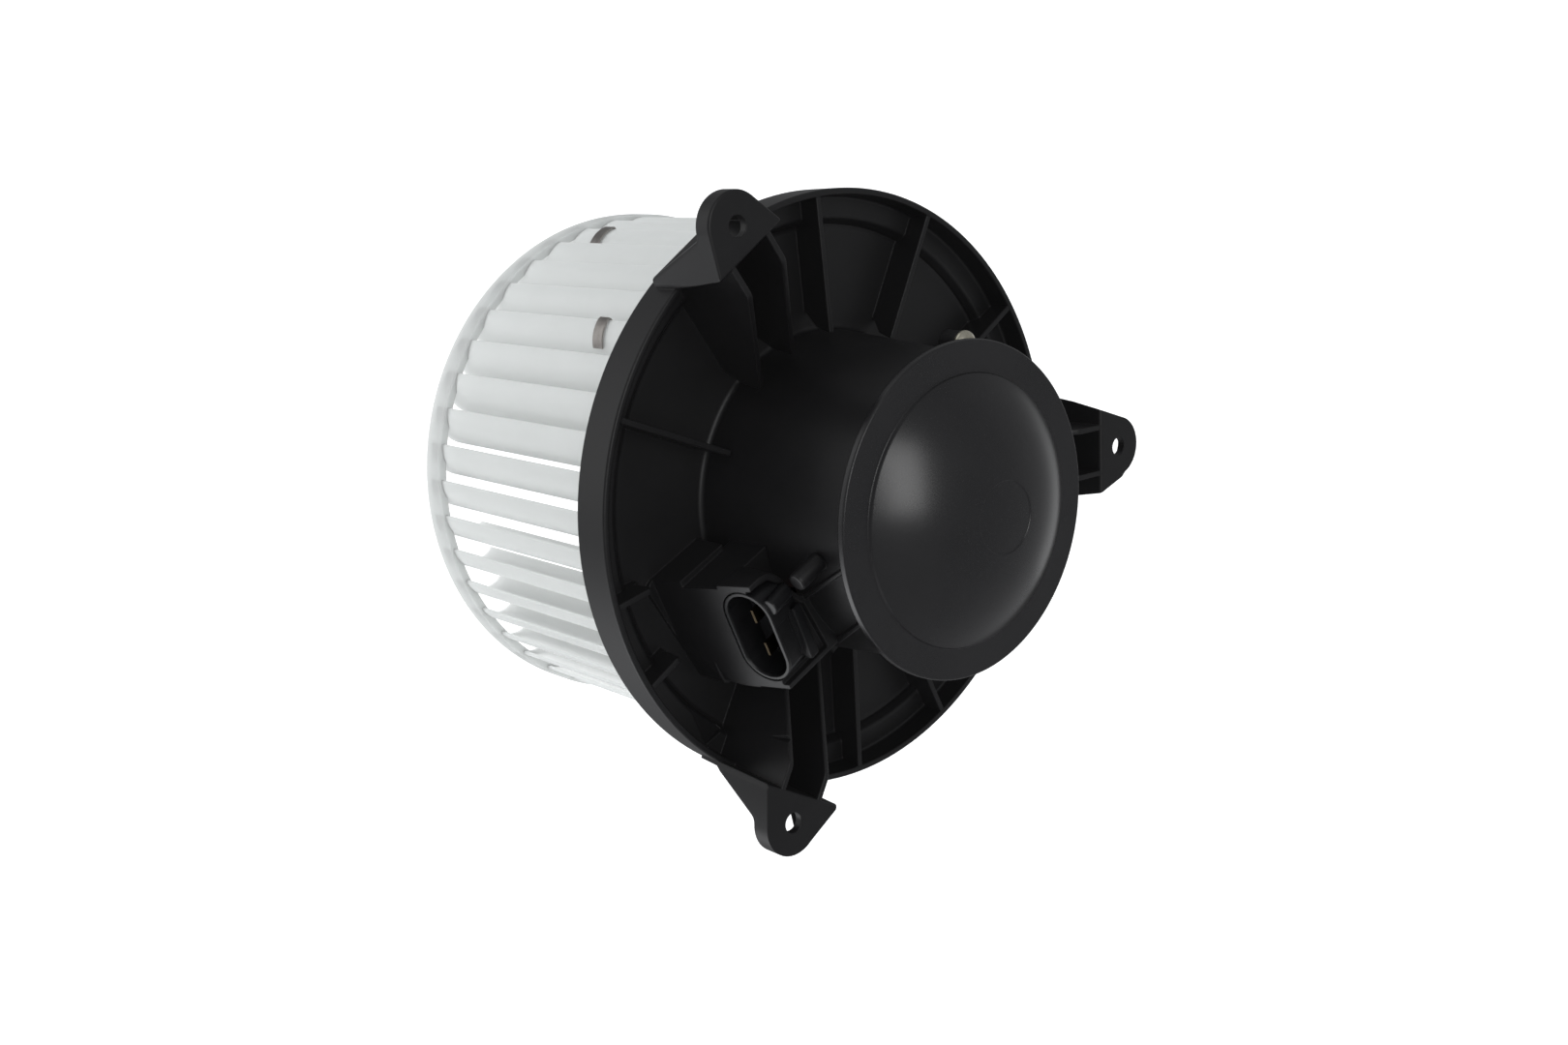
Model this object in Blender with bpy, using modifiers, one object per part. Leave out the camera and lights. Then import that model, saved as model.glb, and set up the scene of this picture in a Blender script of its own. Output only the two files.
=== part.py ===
"""Heater blower: a squirrel-cage wheel on a brushed motor in a flanged housing.

Units are metres and +Z is up. The motor axis is world Y, with the domed cover at -Y and the
wheel's inlet at +Y. The origin is on that axis, in the plane of the flange rim's seat.
Everything is built upright, with the motor axis along local Z, and one empty lays it down.
"Axial" below is the place along that axis, which becomes world Y.
"""
import math

import bmesh
import bpy
from mathutils import Matrix

MM = 0.001
GAP = 0.3                       # clearance between neighbouring solids, mm

# Flange and housing (radii and axial places in mm)
RIM_RADIUS = 89.5
RIM_FRONT = -13.0
RIM_INNER = 87.3
PLATE_FRONT = -2.4
PLATE_OUTER_FRONT = -5.6
PLATE_THICKNESS = 2.4
STEP_RADIUS = 79.6
RIB_TOP = -12.6
RIB_THICKNESS = 1.8
HOUSING_FRONT = -59.4
PLATE_RIB_ANGLES = (161.5, 98.0, 67.5, 36.0, -33.0, -61.0, -86.0)
SHORT_RIB_ANGLES = (-147.0, -164.5)

# Mounting ears: angle, hole radius, radius of the pad's inner edge, half widths on both sides,
# and where the gussets end on the rim (radius and axial place)
EARS = {"upper": (127.5, 99.4, 91.2, 13.6, 13.6, (91.2, -4.4)),
        "side": (3.35, 101.2, 92.4, 14.0, 14.4, (91.5, -6.0)),
        "lower": (-114.8, 97.3, 89.0, 14.8, 13.8, (89.3, -11.5))}
EAR_TOP = -34.5
EAR_SKIRT = 5.8                 # height of the skirt round the pad
EAR_PAD = 2.4                   # thickness of the pad
EAR_WALL = 2.5
EAR_TIP_RADIUS = 9.8
EAR_HOLE_RADIUS = 3.0
EAR_RIB_OFFSET = 7.5

# Connector bay on the side of the housing
BAY_ANGLE = 212.0
BAY_ROOF = -27.5
TRAY_TOP = -38.2
TRAY_FLOOR = -36.2
BAY_LOWER = -17.0               # the bay's two sides, measured sideways from its angle
BAY_UPPER = 16.6
RAIL_START = ((1.6, -37.4), (-17.2, -37.4))      # sideways and axial ends of the lead rails
RAIL_END = ((14.0, -58.6), (-2.6, -58.6))
STUB_PLACE = (47.0, 14.2, -47.5)

# Socket: its mouth leans towards the cover, and faces a little above the bay's angle
SOCKET_ANGLE = 206.0
SOCKET_LEAN = 11.3
SOCKET_PLACE = (62.4, -5.8, -33.6)
SOCKET_LENGTH = 29.4
SOCKET_HEIGHT = 16.2
SOCKET_WALL = 1.5
SOCKET_DEPTH = 11.0
TERMINAL_OFFSET = 5.5

# Motor screws and their bosses
SCREW_ANGLES = (68.5, -53.5)
SCREW_CIRCLE = 47.5
BOSS_TOP = -42.2

# Domed end cover
BRIM_RADIUS = 48.1
BRIM_FACE = -61.9
DOME_RADIUS = 38.2
DOME_APEX = -76.5
DISC_RADIUS = 10.4
DISC_DEPTH = 0.28

# Wheel
BLADE_COUNT = 44
BLADE_START = 3.72              # angle of the first blade, degrees
BLADE_INNER = 64.9
BLADE_OUTER = 79.4
BLADE_STAGGER = -27.8           # chord against the radius, degrees
BLADE_HALF_TURN = 63.2          # half of the arc that a blade bends through, degrees
BLADE_THICKNESS = 1.2
BLADE_SEGMENTS = 4
BLADE_CUT_TURN = -12.0          # where the narrowed blade starts on that arc, beside the ring
WEB_BACK = 5.6
WEB_FRONT = 8.2
RING_RADIUS = 81.0
RING_BACK = 87.0
RING_FRONT = 95.0
BALANCE_CLIPS = ((13, 74.0), (17, 24.5))      # blade number and axial place
BALANCE_CLIP_WIDTH = 4.6
BALANCE_CLIP_THICKNESS = 0.5
BALANCE_CLIP_START = 14.0       # the clip's legs end here on the blade's arc, degrees

# Motor
SHAFT_RADIUS = 4.0
BORE_RADIUS = SHAFT_RADIUS + GAP
SHAFT_BACK = -56.0
SHAFT_FRONT = 59.0
YOKE_RADIUS = 35.0
YOKE_INNER = 33.0
YOKE_BACK = -46.0
YOKE_FRONT = 16.5
CORE_RADIUS = 26.3
CORE_SLOTS = 12
MAGNET_SWEEP = 130.0
BRUSH_SIZE = (8.0, 6.0)         # tangential and axial
BRUSH_AXIAL = -38.5
BRUSH_INNER = 11.3
BRUSH_OUTER = 22.0
HOLDER_END = 30.5
BRUSH_ANGLES = (90.0, -90.0)

BLACK_PLASTIC = ("black_plastic", (0.012, 0.012, 0.013), 0.42, 0.0)
BLACK_CONNECTOR = ("connector_plastic", (0.014, 0.014, 0.015), 0.35, 0.0)
WHITE_PLASTIC = ("white_plastic", (0.74, 0.78, 0.77), 0.38, 0.0)
SPRING_STEEL = ("spring_steel", (0.42, 0.41, 0.40), 0.32, 1.0)
PLATED_STEEL = ("plated_steel", (0.66, 0.62, 0.50), 0.28, 1.0)
ZINC_STEEL = ("zinc_steel", (0.58, 0.59, 0.61), 0.36, 1.0)
GROUND_STEEL = ("ground_steel", (0.62, 0.62, 0.63), 0.22, 1.0)
CORE_STEEL = ("core_steel", (0.30, 0.30, 0.31), 0.45, 1.0)
FERRITE = ("ferrite", (0.045, 0.045, 0.050), 0.60, 0.0)
COPPER = ("copper", (0.72, 0.36, 0.20), 0.30, 1.0)
ENAMEL_WIRE = ("enamelled_wire", (0.46, 0.15, 0.05), 0.35, 0.6)
BRASS = ("brass", (0.72, 0.55, 0.24), 0.30, 1.0)
BRONZE = ("sintered_bronze", (0.52, 0.36, 0.20), 0.50, 1.0)
CARBON = ("carbon", (0.035, 0.033, 0.032), 0.62, 0.1)
RUBBER = ("rubber", (0.020, 0.020, 0.020), 0.85, 0.0)
CARD_RESIN = ("brown_resin", (0.16, 0.085, 0.045), 0.55, 0.0)
NYLON = ("nylon_washer", (0.70, 0.68, 0.60), 0.45, 0.0)
WIRE_RED = ("lead_sleeve", (0.35, 0.03, 0.03), 0.50, 0.0)


def clear_scene():
    for thing in list(bpy.data.objects):
        bpy.data.objects.remove(thing)


def new_collection(name):
    collection = bpy.data.collections.new(name)
    bpy.context.scene.collection.children.link(collection)
    return collection


def material(spec):
    name, colour, roughness, metallic = spec
    found = bpy.data.materials.get(name)
    if found:
        return found
    made = bpy.data.materials.new(name)
    made.use_nodes = True
    shader = made.node_tree.nodes["Principled BSDF"]
    shader.inputs["Base Color"].default_value = (*colour, 1.0)
    shader.inputs["Roughness"].default_value = roughness
    shader.inputs["Metallic"].default_value = metallic
    return made


def place(name, mesh, spec, location=(0.0, 0.0, 0.0), turn=0.0):
    """Put a mesh into the assembly as a named sub-part; location in mm, turn in degrees."""
    mesh.name = name
    mesh.shade_smooth()
    mesh.set_sharp_from_angle(angle=math.radians(32.0))
    mesh.materials.clear()
    mesh.materials.append(material(spec))
    piece = bpy.data.objects.new(name, mesh)
    piece.parent = ASSEMBLY
    piece.location = [value * MM for value in location]
    piece.rotation_euler = (0.0, 0.0, -math.radians(turn))
    PARTS.objects.link(piece)
    return piece


def helper(name, mesh, collection):
    """A solid that is only joined to, or cut from, a sub-part."""
    piece = bpy.data.objects.new(name, mesh)
    piece.parent = ASSEMBLY
    piece.hide_render = True
    piece.display_type = "WIRE"
    collection.objects.link(piece)
    return piece


def helper_collection(name):
    collection = bpy.data.collections.new(name)
    CUTTERS.children.link(collection)
    return collection


def add_boolean(piece, operation, collection):
    boolean = piece.modifiers.new(operation.title(), "BOOLEAN")
    boolean.operation = operation
    boolean.solver = "EXACT"
    boolean.operand_type = "COLLECTION"
    boolean.collection = collection


def signed_area(points):
    total = 0.0
    for (x0, y0), (x1, y1) in zip(points, points[1:] + points[:1]):
        total += x0 * y1 - x1 * y0
    return total / 2.0


def downward(profile):
    """Order a closed profile so that its outer side runs down, as the Screw modifier needs."""
    points = list(profile)
    if signed_area(points) > 0.0:
        points.reverse()
    return points


def profile_mesh(name, profile, closed=True):
    """The half section of a turned shape: (radius, axial) points in mm, joined by edges."""
    points = downward(profile)
    if not closed:
        start = next(i for i, p in enumerate(points) if p[0] == 0.0 and points[i - 1][0] == 0.0)
        points = points[start:] + points[:start]
    edges = [(i, i + 1) for i in range(len(points) - 1)]
    if closed:
        edges.append((len(points) - 1, 0))
    mesh = bpy.data.meshes.new(name)
    mesh.from_pydata([(r * MM, 0.0, z * MM) for r, z in points], edges, [])
    return mesh


def add_screw(piece, steps):
    screw = piece.modifiers.new("Turn", "SCREW")
    screw.axis = "Z"
    screw.steps = steps
    screw.render_steps = steps
    screw.use_merge_vertices = True
    screw.merge_threshold = 0.00001
    screw.use_smooth_shade = True


def turned(name, profile, spec, steps=48, closed=True, **placing):
    """A turned sub-part; its profile is not closed where it meets the axis."""
    piece = place(name, profile_mesh(name, profile, closed), spec, **placing)
    add_screw(piece, steps)
    return piece


def outline_mesh(name, outline, low, high, holes=()):
    """A flat outline in mm, with holes, extruded from axial low to axial high."""
    curve = bpy.data.curves.new(name, "CURVE")
    curve.dimensions = "2D"
    curve.fill_mode = "BOTH"
    curve.extrude = (high - low) / 2.0 * MM
    for loop in (outline, *holes):
        spline = curve.splines.new("POLY")
        spline.points.add(len(loop) - 1)
        for point, (x, y) in zip(spline.points, loop):
            point.co = (x * MM, y * MM, 0.0, 1.0)
        spline.use_cyclic_u = True
    mesh = baked_curve(name, curve)
    mesh.transform(Matrix.Translation((0.0, 0.0, (low + high) / 2.0 * MM)))
    return mesh


def baked_curve(name, curve):
    """Turn a curve into a closed mesh, with its caps welded on, and drop the curve."""
    source = bpy.data.objects.new(name, curve)
    bpy.context.scene.collection.objects.link(source)
    graph = bpy.context.evaluated_depsgraph_get()
    mesh = bpy.data.meshes.new_from_object(source.evaluated_get(graph))
    bpy.data.objects.remove(source)
    bpy.data.curves.remove(curve)
    work = bmesh.new()
    work.from_mesh(mesh)
    bmesh.ops.remove_doubles(work, verts=work.verts, dist=0.000002)
    bmesh.ops.recalc_face_normals(work, faces=work.faces)
    work.to_mesh(mesh)
    work.free()
    return mesh


def side_mesh(name, outline, half_width, offset=0.0):
    """Extrude an outline of (radial, axial) points sideways, by half_width each way."""
    mesh = outline_mesh(name, outline, -half_width, half_width)
    upright = Matrix(((1, 0, 0, 0), (0, 0, 1, offset * MM), (0, 1, 0, 0), (0, 0, 0, 1)))
    mesh.transform(upright)
    mesh.flip_normals()
    return mesh


def turn_mesh(mesh, angle):
    """Turn a mesh about the motor axis to an angle seen from the cover, 0 at +X."""
    mesh.transform(Matrix.Rotation(-math.radians(angle), 4, "Z"))
    return mesh


def arc(centre, radius, start, end, count):
    """Points along an arc, in mm, from start to end in degrees."""
    points = []
    for i in range(count + 1):
        angle = math.radians(start + (end - start) * i / count)
        points.append((centre[0] + radius * math.cos(angle), centre[1] + radius * math.sin(angle)))
    return points


def circle(radius, count, centre=(0.0, 0.0)):
    return arc(centre, radius, 0.0, 360.0, count)[:-1]


def obround(length, height, count=6):
    """A slot outline, length along x, centred on the origin."""
    reach = (length - height) / 2.0
    right = arc((reach, 0.0), height / 2.0, -90.0, 90.0, count)
    left = arc((-reach, 0.0), height / 2.0, 90.0, 270.0, count)
    return right + left


def flat_bar(width, height):
    """A rectangle centred on the origin."""
    return [(-width / 2.0, -height / 2.0), (width / 2.0, -height / 2.0),
            (width / 2.0, height / 2.0), (-width / 2.0, height / 2.0)]


def loft(name, sections):
    """Close a stack of like sections, each a list of 3-D points in mm, into one solid."""
    work = bmesh.new()
    rings = [[work.verts.new([v * MM for v in point]) for point in section] for section in sections]
    size = len(sections[0])
    for low, high in zip(rings, rings[1:]):
        for i in range(size):
            j = (i + 1) % size
            work.faces.new((low[i], low[j], high[j], high[i]))
    work.faces.new(rings[0][::-1])
    work.faces.new(rings[-1])
    bmesh.ops.recalc_face_normals(work, faces=work.faces)
    mesh = bpy.data.meshes.new(name)
    work.to_mesh(mesh)
    work.free()
    return mesh


def joined_mesh(name, meshes):
    work = bmesh.new()
    for mesh in meshes:
        work.from_mesh(mesh)
    joined = bpy.data.meshes.new(name)
    work.to_mesh(joined)
    work.free()
    return joined


# Flange and housing -------------------------------------------------------------------------

def housing_outside():
    """Outer wall of the motor housing, from the plate to its open front."""
    return [(56.0, PLATE_FRONT), (52.5, -4.2), (49.8, -9.0), (48.6, -13.5), (44.6, -42.0),
            (43.8, HOUSING_FRONT)]


def housing_inside():
    return [(41.3, HOUSING_FRONT), (42.2, -42.0), (45.9, -13.5), (47.2, -8.0), (49.4, -3.0),
            (52.6, 0.0)]


def flange_profile():
    back = PLATE_OUTER_FRONT + PLATE_THICKNESS
    rim = [(RIM_RADIUS - 0.5, 0.0), (RIM_RADIUS, RIM_FRONT), (RIM_INNER, RIM_FRONT)]
    floor = [(RIM_INNER - 0.4, PLATE_OUTER_FRONT), (STEP_RADIUS + 1.0, PLATE_OUTER_FRONT),
             (STEP_RADIUS - 1.0, PLATE_FRONT)]
    behind = [(STEP_RADIUS - 2.4, 0.0), (STEP_RADIUS - 0.4, back), (RIM_INNER - 0.6, back),
              (RIM_INNER - 0.5, 0.0)]
    return rim + floor + housing_outside() + housing_inside() + behind


def rib_foot():
    """Lower edge of a full rib: inside the housing wall, then inside the plate."""
    return [(46.9, -15.0), (48.3, -9.5), (50.8, -4.2), (54.5, -1.2), (77.8, -1.2), (80.8, -4.4),
            (88.0, -4.4)]


def add_plate_ribs(collection):
    foot = [(47.2, RIB_TOP)] + rib_foot()[1:]
    for angle in PLATE_RIB_ANGLES:
        mesh = side_mesh("plate_rib", foot + [(88.2, RIB_TOP)], RIB_THICKNESS / 2.0)
        helper("plate_rib", turn_mesh(mesh, angle), collection)
    short = [(75.6, RIB_TOP + 0.6), (75.0, -1.2)] + rib_foot()[4:] + [(88.2, RIB_TOP)]
    for angle in SHORT_RIB_ANGLES:
        mesh = side_mesh("short_rib", short, RIB_THICKNESS / 2.0)
        helper("short_rib", turn_mesh(mesh, angle), collection)


def tab_outline(hole, low, high, shrink=0.0):
    """Ear outline seen along the motor axis, made smaller all round by shrink."""
    tip = arc((hole, 0.0), EAR_TIP_RADIUS - shrink, -68.0, 68.0, 8)
    return [(86.0, shrink - low), (90.5, shrink - low), *tip, (90.5, high - shrink),
            (86.0, high - shrink)]


def ear_side(hole, edge, heel):
    """Ear seen from its side: wall on the rim, flat pad, and gussets that slope to the rim."""
    under = EAR_TOP + EAR_SKIRT
    return [(87.6, -4.0), (87.9, RIM_FRONT), (edge, EAR_TOP), (116.0, EAR_TOP), (116.0, under),
            (hole + 2.2, under), heel, (88.8, -4.0)]


def add_ear(label, angle, hole, edge, low, high, heel, additions, cuts):
    """One ear: its outline kept only where its side view is, and hollow under the pad."""
    block = outline_mesh("ear_" + label, tab_outline(hole, low, high), -40.0, 0.0)
    piece = helper("ear_" + label, turn_mesh(block, angle), additions)
    keep = helper_collection("ear_side_" + label)
    profile = side_mesh("ear_side_" + label, ear_side(hole, edge, heel), 24.0)
    helper("ear_side_" + label, turn_mesh(profile, angle), keep)
    add_boolean(piece, "INTERSECT", keep)
    pocket = tab_outline(hole, low, high, EAR_WALL)[1:-1]
    pocket[0] = (92.9, pocket[0][1] + 0.4)
    pocket[-1] = (92.9, pocket[-1][1] - 0.4)
    hollow = outline_mesh("ear_pocket_" + label, pocket, EAR_TOP + EAR_PAD, 2.0)
    helper("ear_pocket_" + label, turn_mesh(hollow, angle), cuts)
    round_hole = circle(EAR_HOLE_RADIUS, 16, (hole, 0.0))
    drill = outline_mesh("ear_hole_" + label, round_hole, -40.0, -20.0)
    helper("ear_hole_" + label, turn_mesh(drill, angle), cuts)
    top = EAR_TOP + GAP
    rib = rib_foot() + [(88.4, RIM_FRONT), (edge + 0.7, top), (82.0, top)]
    for offset in (-EAR_RIB_OFFSET, EAR_RIB_OFFSET):
        mesh = side_mesh("ear_rib_" + label, rib, RIB_THICKNESS / 2.0, offset)
        helper("ear_rib_" + label, turn_mesh(mesh, angle), additions)


def tray_side():
    """Upper side of the tray seen along the motor axis, from the mouth to the housing's wall."""
    return [(66.0, 17.6), (59.3, 17.6), (54.8, 17.2), (51.7, 15.6), (49.6, 11.8), (48.5, 7.4),
            (47.2, 4.2), (45.1, 2.2)]


def rail_section(sideways, axial):
    """Cross-section of a lead rail, standing on the housing's wall."""
    section = []
    for radius, offset in ((43.0, -0.8), (46.4, -0.8), (46.4, 0.8), (43.0, 0.8)):
        angle = math.asin((sideways + offset) / 45.0)
        section.append((radius * math.cos(angle), radius * math.sin(angle), axial))
    return section


def add_connector_bay(additions, cuts):
    """Box on the housing's side, a walled tray on its roof, and two rails up to the cover."""
    roots = [arc((0.0, 0.0), radius, 20.5, -20.5, 6) for radius in (50.6, 46.0)]
    foot = roots[0] + [(68.0, BAY_LOWER - 1.0), (70.0, BAY_UPPER + 2.0)]
    box = roots[1] + [(67.6, BAY_LOWER), (67.6, BAY_UPPER)]
    for name, outline, low, high in (("foot", foot, -14.0, -1.2), ("box", box, BAY_ROOF, -13.0)):
        helper(name, turn_mesh(outline_mesh(name, outline, low, high), BAY_ANGLE), additions)
    tray = arc((0.0, 0.0), 43.9, 2.6, -23.2, 6) + [(52.6, -17.0), (66.0, -16.6)] + tray_side()
    block = outline_mesh("tray", tray, TRAY_TOP, BAY_ROOF + 1.0)
    helper("tray", turn_mesh(block, BAY_ANGLE), additions)
    for start, end in zip(RAIL_START, RAIL_END):
        spots = [[a + (b - a) * i / 4 for a, b in zip(start, end)] for i in range(5)]
        rail = loft("lead_rail", [rail_section(*spot) for spot in spots])
        helper("lead_rail", turn_mesh(rail, BAY_ANGLE), additions)
    helper("vent_stub", turn_mesh(stub_mesh(), BAY_ANGLE), additions)
    floor = [(64.5, -15.2), (52.6, -15.4), (46.6, -15.6), (47.0, 0.8), (48.7, 3.2), (50.2, 7.0),
             (51.2, 10.9), (53.0, 14.2), (55.2, 15.5), (59.3, 15.9), (64.5, 15.9)]
    pocket = outline_mesh("tray_pocket", floor, -50.0, TRAY_FLOOR)
    helper("tray_pocket", turn_mesh(pocket, BAY_ANGLE), cuts)
    face = [(-36.0, -14.0), (36.0, -14.0), (36.0, 30.6), (-36.0, 30.6)]
    helper("bay_face", socket_mesh("bay_face", face, 0.0, 7.0), cuts)
    seat = obround(SOCKET_LENGTH + 2.0 * GAP, SOCKET_HEIGHT + 2.0 * GAP, 8)
    helper("socket_seat", socket_mesh("socket_seat", seat, -SOCKET_DEPTH - GAP, 1.0), cuts)
    room = [(54.2, BAY_LOWER + 2.4), (63.4, BAY_LOWER + 2.4), (63.4, BAY_UPPER - 2.4),
            (54.2, BAY_UPPER - 2.4)]
    hollow = outline_mesh("bay_hollow", room, -20.6, 2.0)
    helper("bay_hollow", turn_mesh(hollow, BAY_ANGLE), cuts)
    passage = [(38.0, -12.0), (52.6, -12.0), (52.6, 8.4), (48.6, 8.4), (46.6, 4.6), (38.0, 1.4)]
    window = outline_mesh("lead_window", passage, -34.4, -28.6)
    helper("lead_window", turn_mesh(window, BAY_ANGLE), cuts)


def stub_mesh():
    """Short vent pipe beside the tray."""
    work = bmesh.new()
    bmesh.ops.create_cone(work, cap_ends=True, segments=16, radius1=2.7 * MM, radius2=2.7 * MM,
                          depth=10.0 * MM)
    stub = bpy.data.meshes.new("vent_stub")
    work.to_mesh(stub)
    work.free()
    stub.transform(Matrix.Rotation(math.radians(90.0), 4, "Y"))
    stub.transform(Matrix.Translation([value * MM for value in STUB_PLACE]))
    return stub


def add_screw_bosses(additions, cuts):
    for angle in SCREW_ANGLES:
        round_boss = [(max(x, 43.8), y) for x, y in circle(4.1, 14, (SCREW_CIRCLE, 0.0))]
        boss = outline_mesh("screw_boss", round_boss, BOSS_TOP - 1.0, -36.5)
        helper("screw_boss", turn_mesh(boss, angle), additions)
        notch = [(42.9, -5.2), (54.0, -5.2), (54.0, 5.2), (42.9, 5.2)]
        flat = outline_mesh("screw_notch", notch, HOUSING_FRONT - 2.0, BOSS_TOP)
        helper("screw_notch", turn_mesh(flat, angle), cuts)
        pilot = outline_mesh("screw_pilot", circle(2.3, 12, (SCREW_CIRCLE, 0.0)), -44.0, -37.6)
        helper("screw_pilot", turn_mesh(pilot, angle), cuts)


def build_flange_housing():
    additions = helper_collection("flange_additions")
    cuts = helper_collection("flange_cuts")
    add_plate_ribs(additions)
    for label, values in EARS.items():
        add_ear(label, *values, additions, cuts)
    add_connector_bay(additions, cuts)
    add_screw_bosses(additions, cuts)
    piece = turned("flange_housing", flange_profile(), BLACK_PLASTIC, steps=54)
    add_boolean(piece, "UNION", additions)
    add_boolean(piece, "DIFFERENCE", cuts)


def build_end_cover():
    """Shallow dome with a faint centre disc, a flat brim and a spigot into the housing."""
    height = BRIM_FACE - 1.0 - DOME_APEX
    ball = (DOME_RADIUS ** 2 + height ** 2) / (2.0 * height)

    def dome(radius):
        return DOME_APEX + ball - math.sqrt(ball ** 2 - radius ** 2)

    wall = 2.2
    outside = [(r, dome(r) + DISC_DEPTH) for r in (0.0, 5.5, DISC_RADIUS - 0.3)]
    outside.append((DISC_RADIUS, dome(DISC_RADIUS)))
    outside += [(r, dome(r)) for r in (19.0, 27.0, 33.5, DOME_RADIUS)]
    brim = [(39.6, BRIM_FACE), (BRIM_RADIUS - 0.5, BRIM_FACE), (BRIM_RADIUS, BRIM_FACE + 0.5),
            (BRIM_RADIUS, HOUSING_FRONT - GAP), (40.9, HOUSING_FRONT - GAP), (40.9, -54.0),
            (38.9, -54.0), (38.5, -60.6)]
    inside = [(r, dome(r) + wall) for r in (32.0, 22.0, 11.5)] + [(0.0, dome(11.5) + wall)]
    turned("end_cover", outside + brim + inside, BLACK_PLASTIC, steps=40, closed=False)


def build_screws():
    seat = BOSS_TOP - GAP
    profile = [(0.0, seat - 2.5), (2.8, seat - 2.4), (4.0, seat - 1.4), (4.3, seat), (2.0, seat),
               (2.0, -38.6), (0.0, -37.9)]
    for number, angle in enumerate(SCREW_ANGLES, 1):
        turn = math.radians(angle)
        spot = (SCREW_CIRCLE * math.cos(turn), -SCREW_CIRCLE * math.sin(turn), 0.0)
        turned(f"motor_screw_{number}", profile, PLATED_STEEL, steps=20, closed=False, location=spot)


# Connector ----------------------------------------------------------------------------------

def socket_mesh(name, outline, back, front, holes=()):
    """Extrude an outline of (sideways, height) points along the socket's axis; the mouth is at 0."""
    mesh = outline_mesh(name, outline, back, front, holes)
    lean = math.radians(SOCKET_LEAN)
    out, sideways, axial = [value * MM for value in SOCKET_PLACE]
    mesh.transform(Matrix(((0, math.sin(lean), math.cos(lean), out), (1, 0, 0, sideways),
                           (0, math.cos(lean), -math.sin(lean), axial), (0, 0, 0, 1))))
    return turn_mesh(mesh, SOCKET_ANGLE)


def shifted(outline, offset):
    return [(x + offset, y) for x, y in outline]


def build_connector():
    """Obround shroud with two terminals."""
    shell = obround(SOCKET_LENGTH, SOCKET_HEIGHT, 8)
    body = socket_mesh("connector_body", shell, -SOCKET_DEPTH, 0.0)
    piece = place("connector_body", body, BLACK_CONNECTOR)
    cuts = helper_collection("connector_cuts")
    inner = obround(SOCKET_LENGTH - 2.0 * SOCKET_WALL, SOCKET_HEIGHT - 2.0 * SOCKET_WALL, 8)
    helper("socket", socket_mesh("socket", inner, 1.6 - SOCKET_DEPTH, 4.0), cuts)
    sides = (-TERMINAL_OFFSET, TERMINAL_OFFSET)
    for side in sides:
        slot = shifted(flat_bar(5.0, 1.6), side)
        helper("terminal_slot", socket_mesh("terminal_slot", slot, -13.0, -7.0), cuts)
    add_boolean(piece, "DIFFERENCE", cuts)
    for number, side in enumerate(sides, 1):
        terminal = socket_mesh("terminal", shifted(flat_bar(4.2, 0.8), side), -13.0, -2.0)
        place(f"terminal_{number}", terminal, BRASS)


def build_leads():
    """Sleeved leads from the terminals, through the housing's window, to the brush card."""
    end = (38.3, -9.0, -39.4)
    lower = [(49.95, -6.09, -30.91), (49.1, -6.2, -31.1), (47.2, -7.0, -31.5),
             (44.6, -8.0, -31.7), (41.6, -8.8, -32.8), (39.3, -9.0, -35.2), end]
    upper = [(48.75, 4.85, -30.91), (47.9, 4.6, -31.1), (46.6, 2.4, -31.4), (45.0, -0.4, -31.6),
             (42.0, -1.9, -32.6), (39.4, -2.3, -35.2), (end[0], -2.4, end[2])]
    for number, route in enumerate((lower, upper), 1):
        curve = bpy.data.curves.new(f"lead_{number}", "CURVE")
        curve.dimensions = "3D"
        curve.bevel_depth = 1.1 * MM
        curve.bevel_resolution = 2
        curve.use_fill_caps = True
        spline = curve.splines.new("POLY")
        spline.points.add(len(route) - 1)
        for point, spot in zip(spline.points, route):
            point.co = (*[value * MM for value in spot], 1.0)
        place(f"lead_{number}", baked_curve(f"lead_{number}", curve), WIRE_RED, turn=BAY_ANGLE)


# Wheel --------------------------------------------------------------------------------------

CHORD = (BLADE_OUTER - BLADE_INNER) / math.cos(math.radians(BLADE_STAGGER))
BLADE_BEND = CHORD / 2.0 / math.sin(math.radians(BLADE_HALF_TURN))
BLADE_SAG = BLADE_BEND * math.cos(math.radians(BLADE_HALF_TURN))


def blade_vertex(turn, offset):
    """A point beside the first blade's arc, in the (radial, sideways) frame of that blade."""
    middle = (BLADE_INNER + BLADE_OUTER) / 2.0
    lean = math.radians(BLADE_STAGGER)
    angle = math.radians(turn)
    along = (BLADE_BEND + offset) * math.sin(angle)
    across = (BLADE_BEND + offset) * math.cos(angle) - BLADE_SAG
    return (middle + along * math.cos(lean) - across * math.sin(lean),
            along * math.sin(lean) + across * math.cos(lean))


def blade_point(turn, offset):
    """As blade_vertex, but on the flat facets between the blade's vertices."""
    step = 2.0 * BLADE_HALF_TURN / BLADE_SEGMENTS
    place_on_arc = (turn + BLADE_HALF_TURN) / step
    first = min(max(math.floor(place_on_arc + 1e-9), 0), BLADE_SEGMENTS - 1)
    share = place_on_arc - first
    low = blade_vertex(-BLADE_HALF_TURN + first * step, offset)
    high = blade_vertex(-BLADE_HALF_TURN + (first + 1) * step, offset)
    return tuple(a + (b - a) * share for a, b in zip(low, high))


def blade_section(start, axial):
    """Blade outline from a turn on its arc to the outer edge, with sideways flipped to local y."""
    step = (BLADE_HALF_TURN - start) / BLADE_SEGMENTS
    turns = [start + step * i for i in range(BLADE_SEGMENTS + 1)]
    half = BLADE_THICKNESS / 2.0
    outer = [blade_point(turn, half) for turn in turns]
    inner = [blade_point(turn, -half) for turn in reversed(turns)]
    return [(x, -y, axial) for x, y in outer + inner]


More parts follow.
